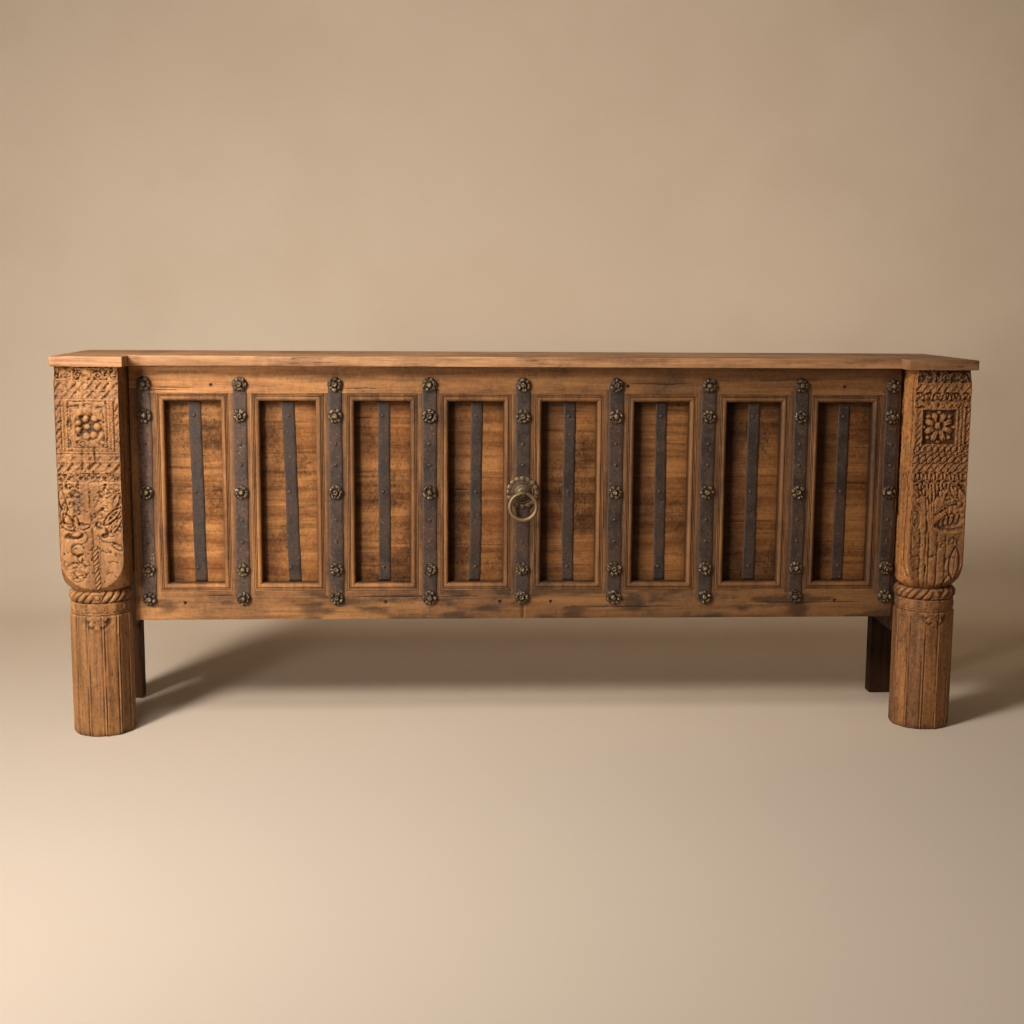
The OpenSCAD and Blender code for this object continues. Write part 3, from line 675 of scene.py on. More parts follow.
def left_front(u, z):
    r = Relief(u, z, 101)
    bands(r, 74)
    # crown: scrolls, broken at the left, with a plain lump in the middle
    r.scrolls((-61, -40, -20, 26, 45, 63), 857, 3.4)
    r.crumble(845, 876, 4.2, 6.5)
    r.level(874, 3.2, 1.6)
    r.dome(3, 866, 13, 9, -2.5, 0.6)
    r.grey += 0.3 * r.band(612, 632) - 0.35 * r.band(846, 880)
    r.cut(1.2, 3.5, (-2, 853), (4, 849), (22, 852))
    r.slants(804, 821, 8, 74, 2.6, (3, 5))
    r.crumble(804, 821, 1.6, 7, 0, 60)
    frame_lines(r, 74)
    # ogee arch round the sunk rosette
    arch = [(-39, 692), (-40, 715), (-37.5, 735), (-40, 755), (-37, 772), (-40, 784), (-24, 786), (-8, 787),
            (0, 793), (9, 787), (22, 781), (36, 784), (33, 772), (37, 757), (34, 738), (36, 715), (34, 692)]
    r.cut(1.5, 4.0, *arch)
    r.cut(1.0, 1.8, *((x * 0.88, 740 + (zz - 740) * 0.9) for x, zz in arch))
    r.cut(1.1, 2.6, (-30, 797), (-10, 795), (0, 800), (12, 794), (32, 796))
    r.pit(1.5, 737, 34, 34, 9.0)
    for x, zz, a in ((21.5, 737, 9.6), (13, 718.5, 9.6), (16, 757, 9.4), (-4, 715, 10), (-22, 747, 7.6),
                     (-21.5, 731, 7.4), (-5, 757, 8.5)):
        r.dome(x, zz, a, a, -8.5, 0.8)
    r.dome(-3, 738, 8, 7, -9, -2.4)
    for x, zz, a, d in ((-14, 761, 6, 5), (-12, 730, 5, 5), (-9, 744, 4, 3), (-21, 717, 5, 4), (6, 742, 3, 4),
                        (27, 752, 4, 4), (-17, 739, 4, 5)):
        r.pit(x, zz, a, a * 0.8, d)
    for x, zz in ((-20, 700), (-12, 698), (31, 701)):
        r.dome(x, zz, 5.5, 6.5, -2, 0.6)
        r.ring(x, zz, 5.5, 1.1, 2.8)
        r.pit(x, zz, 2.2, 2.6, 2.5)
    # cracks down from the frame
    r.cut(1.1, 5, (-15.5, 692), (-15, 668), (-14, 655), (-17, 636))
    r.cut(1.1, 5, (13, 692), (13.5, 670), (15, 655), (9, 650), (0, 639))
    for x in (-62, -36, 3, 24, 52, 63):
        r.cut(1.1, 2.4, (x - 3, 661), (x + 3, 668))
        r.cut(0.9, 1.6, (x - 2, 668), (x + 3, 662))
    r.slants(635, 652, 7, 74, 4.0)
    r.crumble(612, 632, 3.4, 5.0)
    chevrons(r, -68, 13.6)
    # vase: centre line, knot, hanging leaves
    each(r.sprigs, (22, -68, -26, 498, 606, 4), (24, 16, 68, 488, 600, 5), (9, -62, -14, 372, 430, 6))
    r.cut(1.1, 3.6, (-3, 607), (-2.5, 575), (-1, 545), (1, 520), (3, 490), (4, 457))
    r.pit(-34, 581, 15, 12, 5.5, -15)
    r.dome(-32, 577, 9, 6.5, -6, -1.5, 20)
    r.grey += np.exp(-(np.hypot((r.u + 30) / 18, (r.z - 565) / 24)) ** 2)
    for x in (-66, -58, -49, -41, -30):
        r.cut(1.4, 3.4, (x - 4, 594), (x + 4, 605))
        r.pit(x + 3, 596, 2.4, 3.4, 2.6)
    each(r.cut, (1.3, 3, (-50, 572), (-40, 577), (-25, 573)), (1.2, 3.8, (35, 602), (24, 578), (10, 550)),
         (1.3, 3.8, (29, 549), (14, 537), (3, 525)), (1.1, 2.4, (18, 540), (16, 518)),
         (1.5, 4, (14, 512), (20, 500)))
    for k in range(4):
        r.cut(1.3, 3.6, (1 + k * 1.5, 528 - k * 8), (12 + k, 540 - k * 8))
    each(r.leaf, (-66, 590, -62, 545, 13, 2.2, 2.6, 6), (-57, 560, -66, 520, 12, 2.2, 2.6, 6),
         (66, 582, 54, 552, 11, 2.2, 2.6, 5), (70, 560, 63, 526, 12, 2.2, 2.6, 5),
         (69, 548, 31, 510, 15, 0.6, 4.2, 4), (70, 526, 47, 490, 10), (58, 522, 40, 492, 9),
         (-60, 534, -45, 504, 14, 1.5, 4),
         (-67, 512, -40, 498, 11, 1.0, 4.2), (-37, 528, -32, 500, 9, 1.0, 3.5),
         (-24, 500, -4, 509, 7, 1.2, 3.5))
    each(r.ring, (61, 596, 8, 1.2, 2.8, 40, 320), (61, 596, 4, 1.1, 2.2))
    each(r.pit, (35, 603, 2.6, 3.2, 3), (50, 530, 15, 5, 3.5, 45), (-24, 511, 8, 5, 4.2, 10),
         (-37, 484, 21, 8.5, 5.5))
    # curls like half-open buds, and the stem
    r.dome(-34, 486, 12, 6.5, -6, 0.2)
    each(r.cut, (1.5, 4.2, (-58, 480), (-46, 478), (-30, 478), (-22, 486)),
         (1.2, 3.0, (-58, 483), (-48, 493), (-30, 495), (-20, 489)),
         (1.1, 2.8, (-16, 495), (-8, 482), (-12, 470), (-24, 464)),
         (1.3, 3.2, (36, 487), (48, 482), (60, 485)),
         (1.3, 3.6, (18, 482), (24, 472), (36, 468), (56, 467)), (1.2, 3, (51, 468), (62, 460)),
         (1.5, 3.4, (-40, 440), (-32, 436), (-22, 441)), (1.4, 3.2, (24, 449), (33, 444), (42, 446)),
         (1.2, 2.6, (40, 421), (48, 424), (57, 420)), (1.2, 2.6, (32, 393), (37, 397), (43, 394)),
         (1.2, 2.6, (-1, 455), (0, 425)))
    r.rib(3.0, 1.2, (-18, 494), (-12, 484), (-11, 475), (-20, 467))
    each(r.pit, (30, 484, 8.5, 7, 6.5), (35, 495, 4, 9, 5, 10), (42, 445, 2.6, 2.2, 3), (38, 396, 2, 2, 2))
    r.leaf(50, 462, 70, 452, 9, 1.2, 3.4)
    r.ring(-32, 450, 14.5, 1.2, 2.8, 20, 300)
    for x0, z0, x1, z1 in ((-58, 412, -42, 420), (-44, 417, -28, 416), (-46, 407, -36, 402),
                           (-34, 405, -30, 400), (-26, 411, -16, 412), (-36, 385, -20, 392),
                           (-20, 385, -10, 395), (-44, 396, -40, 390)):
        r.cut(1.3, 2.8, (x0, z0), ((x0 + x1) / 2, (z0 + z1) / 2 + 2), (x1, z1))
    r.rope([(7, 460), (9, 410), (13, 352)], 6.2, 11, 1.5, 3.2, 1.0)
    return r.done()


def right_front(u, z):
    r = Relief(u, z, 202)
    bands(r, 68)
    r.scrolls((-55, -36, -16, 5, 27, 50), 858, 3.2)
    r.crumble(845, 876, 4.6, 6.0)
    r.level(873, 3.6, 2.2)
    r.grey += 0.8 * r.band(846, 880)
    # leafy band
    for x in range(-60, 51, 22):
        r.leaf(x - 7, 806, x + 6, 820, 9, 1.0, 3.4)
        r.leaf(x + 12, 806, x + 3, 820, 8, 1.0, 3.0)
    r.ring(34, 814, 6, 1.1, 3)
    r.crumble(786, 822, 2.6, 5.5)
    # sunk square with a leaf flower
    cx, cz, hw, hh = -7, 741, 40, 41
    r.h -= 9.4 * (window(-hw, hw, 0.8, r.U - cx) * window(-hh, hh, 0.8, r.Z - cz))
    for k in range(8):
        a = math.radians(22.5 + 45 * k)
        x0, z0 = cx + 9 * math.cos(a), cz + 3 + 9 * math.sin(a)
        x1, z1 = cx + 37 * math.cos(a), cz + 37 * math.sin(a)
        ln = math.hypot(x1 - x0, z1 - z0)
        r.dome((x0 + x1) / 2, (z0 + z1) / 2, ln / 2, 8.0, -9.4, -0.6, math.degrees(a))
        r.cut(1.1, 2.6, (x0, z0), (x1, z1))
        b = math.radians(45 * k)
        r.pit(cx + 22 * math.cos(b), cz + 2 + 22 * math.sin(b), 5.5, 4, 2.5)
        r.dome(cx + 36 * math.cos(b), cz + 35 * math.sin(b), 6, 5, -9.4, -2.0)
    r.dome(cx, cz + 3, 11, 10, -9, -1.6)
    each(r.pit, (cx + 6, cz + 4, 6, 8, 4), (cx - 1, cz + 19, 6, 8, 3))
    for z0 in range(694, 785, 15):
        r.cut(1.5, 3.6, (-62, z0 - 6), (-52, z0 + 7))
    for x in (38.5, 58):
        r.cut(1.0, 2.4, (x, 690), (x, 792))
    each(r.rope, ([(43.5, 690), (43.5, 790)], 3.6, 7.2, 1.0, 2.4, 1),
         ([(52, 690), (52, 790)], 3.6, 8.0, 1.0, 2.4, -1))
    for z0 in range(692, 791, 14):
        r.cut(1.3, 3.2, (59.5, z0 - 4), (66, z0 + 5))
    # leaf rows under the square
    for x in range(-60, 61, 15):
        r.leaf(x - 3, 680, x + 5, 697, 8, 1.2, 3.2)
    for x in range(-60, 60, 17):
        r.leaf(x - 6, 656, x + 6, 672, 9, 1.2, 3.6)
    r.pit(0, 668, 4, 3, 3)
    r.slants(635, 652, 8, 68)
    for x in range(-58, 57, 19):
        r.leaf(x - 8, 630, x, 613, 8, 1.0, 3.2)
        r.leaf(x + 8, 630, x + 1, 613, 8, 1.0, 3.2)
    # hanging fronds
    each(r.sprigs, (20, -60, 62, 566, 606, 7), (12, 16, 62, 500, 600, 8), (8, -60, 60, 372, 470, 9))
    for x, z0, z1, w in ((-46, 608, 590, 11), (-38, 606, 578, 9), (-30, 607, 572, 8), (-22, 606, 560, 8),
                         (-14, 607, 566, 8), (-6, 606, 578, 8), (3, 607, 590, 8), (12, 607, 594, 8)):
        r.leaf(x, z0, x + 3, z1, w, 1.4, 3.4)
    for k in range(5):
        r.cut(1.2, 3.2, (46 + k * 4, 606 - k * 2), (60 + k * 2, 588 - k * 3))
    r.leaf(30, 606, 42, 572, 14, 1.4, 3)
    each(r.pit, (-54, 603, 3, 4, 4), (-48, 575, 6, 2.6, 3.4, 40), (19, 577, 3.5, 8, 4.5, -20),
         (34, 598, 3, 8, 4, 30))
    for x in (-28, -21, -15, -9):
        r.cut(1.2, 2.8, (x - 2, 570), (x, 540), (x + 1, 515))
    # dark hollow under a cord, with balls at its edge
    r.cut(1.6, 4.8, (-4, 531), (12, 543), (30, 552), (50, 559))
    r.rope([(-2, 537), (14, 549), (32, 558), (50, 563)], 2.6, 6, 1.0, 2.0, 1.0)
    for x, zz, a in ((52, 558, 6.5), (58, 545, 6.5), (61, 530, 6)):
        r.dome(x, zz, a, a, -5, 1.2)
        r.ring(x, zz, a + 1, 1.1, 2.6)
    r.cut(2.2, 4.5, (-4, 505), (6, 498), (30, 496), (60, 500))
    r.rib(3.0, 1.6, (-6, 497), (8, 489), (32, 487), (62, 491))
    for x, zz, a in ((10, 512, 12), (21, 517, 13), (33, 520, 14), (46, 522, 14)):
        r.leaf(x - 2, zz - a, x + 3, zz + a, 9, 1.0, 3.0)
    # loop motif at the left, flutes of the vase with scalloped ends
    each(r.ring, (-54, 518, 11, 1.5, 3.8, 0, 360, 2.0), (-54, 518, 6, 1.3, 3.2, 0, 360, 2.4),
         (-51, 438, 9, 1.2, 3.2, 180, 360), (-12, 438, 9, 1.2, 3.2, 180, 360),
         (36, 414, 15, 1.2, 2.6, 60, 170), (42, 465, 9, 1.2, 3.2, 0, 180))
    for x, z0 in ((-41, 488), (-27, 490), (-19, 486), (1, 484), (22, 480)):
        r.cut(1.2, 3.4, (x, z0), (x + 1, 440), (x, 356))
    each(r.cut, (1.4, 3.4, (-66, 494), (-54, 488), (-42, 494)), (1.2, 2.6, (-62, 484), (-61, 440)),
         (1.2, 2.8, (-62, 392), (-52, 396), (-42, 400)), (1.2, 2.8, (8, 392), (20, 394), (30, 390)))
    each(r.pit, (26, 512, 36, 15, 5.2, 14), (-54, 512, 4, 10, 3.4), (-25, 500, 4, 20, 3),
         (-25, 400, 3, 14, 3))
    each(r.leaf, (48, 450, 42, 376, 22, 1.4, 3.4), (36, 385, 24, 354, 12, 1.2, 3.2))
    return r.done(0.7)


def outer_side(u, z, seed, balls):
    r = Relief(u, z, seed)
    half, count = 71, 7 if balls else 8
    bands(r, half)
    r.scrolls(range(-58, 58, 23), 858, 3.2)
    r.crumble(845, 876, 3.4, 6.5)
    r.slants(804, 821, 8, half, 3.0)
    frame_lines(r, half)
    r.ring(0, 738, 37, 1.5, 3.8)
    r.pit(0, 738, 33, 33, 9)
    for k in range(count):
        a = 2 * math.pi * k / count
        if balls:
            r.dome(22 * math.cos(a), 738 + 22 * math.sin(a), 9.5, 9.5, -8.5, 0.4)
        else:
            r.dome(20 * math.cos(a), 738 + 20 * math.sin(a), 15, 7, -8.5, 0.2, math.degrees(a))
    r.dome(0, 738, 9, 9, -8.5, 0.2)
    r.slants(635, 652, 7, half)
    chevrons(r, -65, 13)
    r.crumble(612, 632, 2.4, 5)
    r.cut(1.1, 3, (0, 607), (0, 470))
    for s in (-1, 1):
        for k in range(4):
            r.leaf(s * 66, 600 - k * 34, s * (44 - 4 * k), 576 - k * 30, 14, 1.4, 3.2, 5)
        each(r.leaf, (s * 6, 600, s * 20, 556, 11, 1.4, 3), (s * 8, 560, s * 34, 524, 11, 1.4, 3))
        r.pit(s * 34, 485, 15, 8, 5)
        r.dome(s * 33, 486, 8, 5, -5, 0)
        each(r.ring, (s * 33, 482, 20, 1.3, 3, 180, 360), (s * 34, 440, 13, 1.2, 2.6, 20, 300))
        r.leaf(s * 50, 420, s * 34, 375, 16, 1.2, 2.8)
    r.rope([(3, 460), (4, 352)], 6, 11, 1.5, 3, 1)
    return r.done(0.6)


def plain_side(u, z, seed, cracks):
    r = Relief(u, z, seed)
    r.h -= 0.6 * (1 + r.rough(22, 240, 2, 4))
    for pts in cracks:
        r.cut(1.5, 4.5, *pts)
    return r.done(0.8)


def add_post(name, node, v, ends, mat, **attrs):
    """A closed tube on the post's axis, with a tone, a cav and an edge for each point"""
    nr, nc = v.shape[:2]
    centre = {"tone": 1.0, "cav": 0, "edge": 0}
    add_mesh(name, np.concatenate([v.reshape(-1, 3), ends]), tube_faces(nr, nc), mat, [node],
             {key: np.append(val.ravel(), [centre[key]] * 2) for key, val in attrs.items()})


def capital(tag, node, xc, w, side, front_art, mat, seed, cracks):
    zs = np.linspace(FOOT_Z, HEAD_Z, 366)
    counts = {"front": 112, "outer": 74, "inner": 24, "back": 6}
    hw, hd = w / 2, POST_D / 2
    # the four faces in order round the post: front, right side, back, left side
    right, left = ("outer", "inner") if side > 0 else ("inner", "outer")
    corner = (-hw, -hd), (hw, -hd), (hw, hd), (-hw, hd)
    rows, cav, grey, face_painted_light = [], [], [], []
    for i, (face, nx, ny) in enumerate((("front", 0, -1), (right, 1, 0), ("back", 0, 1), (left, -1, 0))):
        (ax, ay), (ex, ey) = corner[i], corner[(i + 1) % 4]
        t = np.arange(counts[face]) / counts[face]
        px, py = ax + (ex - ax) * t, ay + (ey - ay) * t
        if face == "front":
            h, g = front_art(px, zs)
        elif face == "outer":
            h, g = outer_side(py * side, zs, seed + 7, side < 0)
        elif face == "inner":
            h, g = plain_side(py, zs, seed + 3, cracks)
        else:
            h, g = plain_side(px, zs, seed + 5, ())
        # dirt and painted shade in the hollows of the carving, from how far each point lies below its
        # surroundings
        cav.append((h - blur(h, 9)) * 0.2 + (h - blur(h, 4)) * 0.32 + (h - blur(h, 1)) * 0.36)
        # carving dies out at the corners
        e = step(0.0, 3.5, np.minimum(t, 1 - t) * (w if face in ("front", "back") else POST_D))
        h = h * (0.35 + 0.65 * e) - 2.6 * (1 - e)
        X, Z = np.meshgrid(px, zs)
        Y, _ = np.meshgrid(py, zs)
        # the foot is rounded like a ball
        ball = math.hypot(w, POST_D) / 2 + 1.0
        lim = np.sqrt(np.maximum(ball * ball - np.clip(432 - Z, 0, None) ** 2, 1)) - 1.5
        f = np.minimum(1, np.where(Z > 436, 1e3, lim) / np.hypot(X, Y))
        rows.append(np.stack([xc + X * f + nx * h, POST_Y + Y * f + ny * h, Z], -1))
        grey.append(g)
        # painted light: the colour of the right post's inner side is made paler, for light that falls on it
        # the right post's inner side is paler in the photo
        face_painted_light.append(np.full_like(h, 1.75 if side > 0 and face == "inner" else 1.0))
    v, cav, grey, face_painted_light = (np.concatenate(a, 1) for a in (rows, cav, grey, face_painted_light))
    # the crown stands back at the sides
    back = 1.2 - (9 if side > 0 else 4) * step(800, 880, zs)[:, None] ** 1.4
    v[:, :, 0] = np.clip(v[:, :, 0], xc - hw - back, xc + hw + back)
    tone = 1 + 0.12 * fbm(v[..., 0] / 60, v[..., 1] / 60, v[..., 2] / 120, seed, 4)
    tone = tone * (1 - 0.45 * np.clip(grey, -0.6, 1)) * face_painted_light
    add_post(tag + "_capital", node, v, [[xc, POST_Y, FOOT_Z], [xc, POST_Y, HEAD_Z]], mat, tone=tone, cav=cav,
             edge=np.zeros_like(cav))


def shaft(tag, node, xc, mat, seed):
    """Twelve-sided shaft with a leaf fan, and the collar and rope ring above it"""
    zs = np.concatenate([[0, 0.8, 2, 4], np.linspace(8, 238, 30), np.linspace(243, 288, 21),
                         np.linspace(290, FOOT_Z, 58)])
    part = np.array([0, 0.03, 0.06, 0.09, 0.12, 0.15, 0.19, 0.25, 0.33, 0.42, 0.5, 0.58, 0.67, 0.75, 0.81,
                     0.85, 0.88, 0.91, 0.94, 0.97])
    th = (np.arange(12)[:, None] * math.pi / 6 + math.pi / 12 + part * math.pi / 6).ravel()
    T, Z = np.meshgrid(th, zs)
    phi = (T + math.pi / 12) % (math.pi / 6) - math.pi / 12
    facet = np.floor((T + math.pi / 12) / (math.pi / 6))
    # distance from the nearest arris, and how much of the worn bead along it is left
    arc = np.abs(np.abs(phi) - math.pi / 12) * SHAFT_R
    there = unit(0.72 + 1.4 * fbm(facet * 3.7 + np.sign(phi), Z / 70, 0, seed + 17, 3))
    rad = SHAFT_FLAT / np.cos(phi) - 2.7 * there * bell(arc - 3.2, 1.4)
    rad -= 0.5 * (1 + fbm(T * 12, Z / 90, 0, seed + 21, 4)) * 0.6
    rad -= 1.6 * step(0.52, 0.75, fbm(T * 9, Z / 22, 0, seed + 25, 2))
    rad -= 3.5 * (1 - step(0, 9, Z + 4 * noise(T * 5, 0, 0, seed + 4)))
    ang = (T + math.pi / 2 + math.pi) % (2 * math.pi) - math.pi
    s = ang * SHAFT_R
    # a fan of leaves in front, hanging from the collar
    fr, fa = np.hypot(s - 5, 298 - Z), np.arctan2(s - 5, 298 - Z)
    fan = np.zeros_like(Z)
    for k, reach in enumerate((30, 37, 44, 37, 30)):
        off = fa - (k - 2) * 0.48
        fan = np.maximum(fan, unit(1 - (off / 0.25) ** 2) * step(2, 7, fr) * (1 - step(reach - 9, reach, fr)))
        rad -= 1.9 * bell(off * fr, 1.3) * step(9, 13, fr) * (1 - step(reach - 14, reach - 8, fr)) * 0.6
    gap = (1 - step(0.02, 0.4, fan)) * step(4, 8, fr) * (1 - step(32, 46, fr))
    gap = gap * step(-0.2, 0.15, 1.15 - np.abs(fa))
    rad -= 2.6 * gap
    rad += 1.9 * np.sqrt(fan)
    # collar with two lines and a row of rosettes
    collar = 69.6 - 2.4 * bell(Z - 293, 1.3) - 2.0 * bell(Z - 298, 1.0)
    for k in range(14):
        d = np.hypot((ang - ((k + 0.5) * 2 * math.pi / 14 - math.pi)) * SHAFT_R, Z - 309)
        collar = collar + np.where(d < 8.5, (0.5 + 1.4 * there) * dome_of(d / 8.5), 0)
        collar = collar - 1.3 * there * bell(d - 8.8, 1.2) - there * bell(d - 4.2, 1.0)
    collar = collar - 0.8 * unit(fbm(T * 22, Z / 3.5, 0, seed + 29, 2)) * 2
    collar += 1.6 * np.sqrt(fan)
    # rope ring with a knot in front
    tz = (Z - 335.5) / 14.5
    twist = (ang * 22 / (2 * math.pi) - tz * 0.62) % 1
    rope = 60 + 13.2 * dome_of(tz)
    rope -= 4.2 * bell(np.minimum(twist, 1 - twist), 0.13)
    rope += np.cos(2 * np.pi * (twist - 0.5))
    rope -= bell(np.abs(twist - 0.5), 0.06)
    knot = np.hypot(s - 8, Z - 336)
    rope = np.where(knot < 13, 66 + 7.4 * dome_of(knot / 13) - 3 * bell(knot - 7, 1.5), rope)
    rad = np.minimum(np.where(Z < 291, rad, np.where(Z < 321, collar, rope)), 73.4)
    # dirt and painted shade in the grooves beside the arrises and in the gaps of the leaf fan
    cav = (rad - blur(rad, 3)) * 0.5 - 0.8 * there * bell(arc - 3.2, 1.6) * (Z < 290) - 0.55 * gap
    tone = 0.93 * (1 + 0.16 * fbm(T * 5, Z / 60, 0, seed + 33, 4)) * (1 + 0.16 * np.sin(facet * 2.3 + seed))
    tone *= 1 - 0.25 * (1 - step(0, 26, Z))
    v = np.stack([xc + rad * np.cos(T), POST_Y + rad * np.sin(T), Z], -1)
    # the edge mark along the arrises is a painted highlight
    add_post(tag + "_shaft", node, v, [[xc, POST_Y, 0], [xc, POST_Y, FOOT_Z]], mat, tone=tone, cav=cav,
             edge=0.9 * there * bell(arc, 1.8) * (Z < 290))


for post, side, xc, w, art, mat, seed, cracks in (
        ("left", -1, -995.0, 148.0, left_front, W_POST, 11, [[(-30, 840), (-22, 700), (-30, 560)]]),
        ("right", 1, 1001.0, 136.0, right_front, W_POST_R, 23,
         [[(-20, 625), (-38, 590), (-36, 545), (-32, 500), (-30, 440), (-34, 405), (-60, 380)],
          [(30, 860), (24, 760), (36, 640), (30, 520)], [(-52, 590), (-38, 590)],
          [(-40, 860), (-48, 760), (-42, 690)]])):
    capital(post + "_post", post + "_carved_post", xc, w, side, art, mat, seed, cracks)
    shaft(post + "_post", post + "_carved_post", xc, mat, seed)


# Boards

def strap_dirt(v):
    """Bars are dark beside the iron straps"""
    x, _, z = v.T
    out = np.ones(len(v))
    for k in range(1, BARS + 1):
        lo, hi = box_mm("bar_strap_%d" % k)
        d = np.maximum(lo[0] - x, x - hi[0])
        out = np.where(np.abs(d) < 14, 0.55 + 0.45 * step(-2, 9, d + 3 * noise(z / 40, x / 9, k, 71)), out)
    return out


def rail_stain(v):
    """Dark clouds on the bottom rail, most at its left end"""
    x, _, z = v.T
    n = fbm(x / 70, z / 22, 0, 79, 4)
    return 1 - 0.62 * step(0.02, 0.45, n + 0.28 * (1 - step(-900, -760, x)))


def painted_panel_shadow(v):
    """Planks are coloured darker along the mouldings: a painted shadow of the mouldings, widest and darkest
    at the left and upper edges, and a narrower darkening at the right and lower edges
    """
    x, y, z = v.T
    out = np.ones(len(v))
    for k in range(PANELS):
        lo, hi = box_mm("panel_moulding_%d" % (k + 1))
        x0, x1, z0, z1 = lo[0] + STRIP_W, hi[0] - STRIP_W, lo[2] + STRIP_W, hi[2] - STRIP_W
        # the painted shadow is darker and wider on the panels further right, where the light comes in more
        # from the side
        dark, reach = (0.42, 56) if k < 3 else (0.26, 74)
        w = 8 * noise(x / 60, z / 60, k, 77)
        f = (dark + (1 - dark) * step(4, reach, x - x0 + w)) * (0.72 + 0.28 * step(0, 16, x1 - x + w * 0.5))
        f = f * (0.55 + 0.45 * step(2, 34, z1 - z + w)) * (0.8 + 0.2 * step(0, 18, z - z0 + w * 0.5))
        out = np.where((x > x0 - 25) & (x < x1 + 25) & (y < y.min() + 8), f, out)
    return out


def closed(i):
    """A plank's box, grown so that the swollen edges of the planks meet"""
    (x0, y0, z0), (x1, y1, z1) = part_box("door_plank_%d" % i)
    return (x0, y0, z0 - 0.0011 * (i > 1)), (x1, y1, z1 + 0.0011 * (i < 4))


rs = np.random.RandomState(5)
board("top_front_board", "top_plank_front", W_TOP, 0, (9, 7, 5), 2.2, 0.5, 31, 1.0, (1.0, 0.95),
      ([-1.075, -0.1345, 0.876], [1.075, -0.0683, 0.9]))
for tag, x0, x1, seed, tone, chips in (
        ("top_ear_left", -1.075, -0.908, 33, 1.12, [(-1070, -202, 878, 60, 7), (-1035, -202, 876, 30, 3)]),
        ("top_ear_right", 0.908, 1.075, 35, 0.85, [(1075, -202, 888, 24, 3)])):
    b = board(tag, None, W_TOP, 0, (5, 5, 4), 2.2, 0.5, seed, tone, (1.0, 0.9),
              ([x0, -0.2025, 0.876], [x1, -0.1343, 0.9]), chips=chips)
    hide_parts("top_plank_front")
board("top_middle_board", "top_plank_middle", W_TOP, 0, (12.5, 9, 7), 1.6, 0.5, 37, 0.95,
      (1.0, 0.95))
board("top_back_board", "top_plank_back", W_TOP, 0, (12.5, 9, 7), 2.0, 0.5, 39, 0.9, (1.0, 0.95))
board("leaf_top_rail", "door_top_rail", W_RAIL, 0, (10.5, 9, 5.5), 1.6, 0.7, 41, 1.0,
      (1.9, 0.66), holes=[(x, 829.8) for x in (-727, 264, 790)],
      cracks=[(823.5, -860, -760, 2.2), (817, -880, -800, 1.6), (836, 250, 420, 1.6), (822, -420, -330, 1.2),
              (846, 560, 760, 1.8)])
board("leaf_bottom_rail", "door_bottom_rail", W_RAIL, 0, (10.5, 9, 5.5), 2.0, 0.8, 43, 1.04,
      (1.05, 0.5), shade=rail_stain, seams=[(16, 255, 292, 2.0)],
      holes=[(x, 304.6) for x in (-800, -318, -41, 83, 786)],
      cracks=[(318, -420, -60, 1.6), (290, 100, 420, 1.5), (300, 560, 860, 1.8), (322, -760, -640, 1.5)])
for i in range(1, BARS + 1):
    board("leaf_bar_%d" % i, "door_bar_%d" % i, W_BAR, 2, (3, 9, 10), 1.2, 0.6, 50 + i,
          rs.uniform(0.9, 1.06), shade=strap_dirt)
plank_cracks = ([], [(497, 500, 640, 1.4)], [(575, -190, -110, 1.6), (592, 740, 880, 2.0)],
                [(752, -400, -345, 1.4)])
for i, cracks in enumerate(plank_cracks, 1):
    board("leaf_plank_%d" % i, "door_plank_%d" % i, W_PANEL, 0, (11, 9, 6.5), 0.5, 0.7, 70 + i,
          rs.uniform(0.95, 1.03), box=closed(i), shade=painted_panel_shadow, cracks=cracks)
for side in ("left", "right"):
    for kind, gap, r, amp, seed, tone, painted_falloff in (
            ("rear_leg_", (9, 9, 15), 2.4, 0.9, 81, 0.62, (0.9, 0.7)),
            ("side_board_", (9, 13, 15), 1.8, 0.7, 87, 1.15, (1.3, 0.62)),
            ("top_bearer_", (10, 13, 10), 1.8, 0.6, 91, 1.0, (1.3, 0.62))):
        board(kind + side + "_worn", kind + side, W_BACK, 2, gap, r, amp, seed + len(side), tone,
              painted_falloff)
board("rear_rail_worn", "rear_rail", W_BACKX, 0, (15, 10, 10), 1.8, 0.7, 95, 1.1)


# Mouldings: four mitred strips round each panel

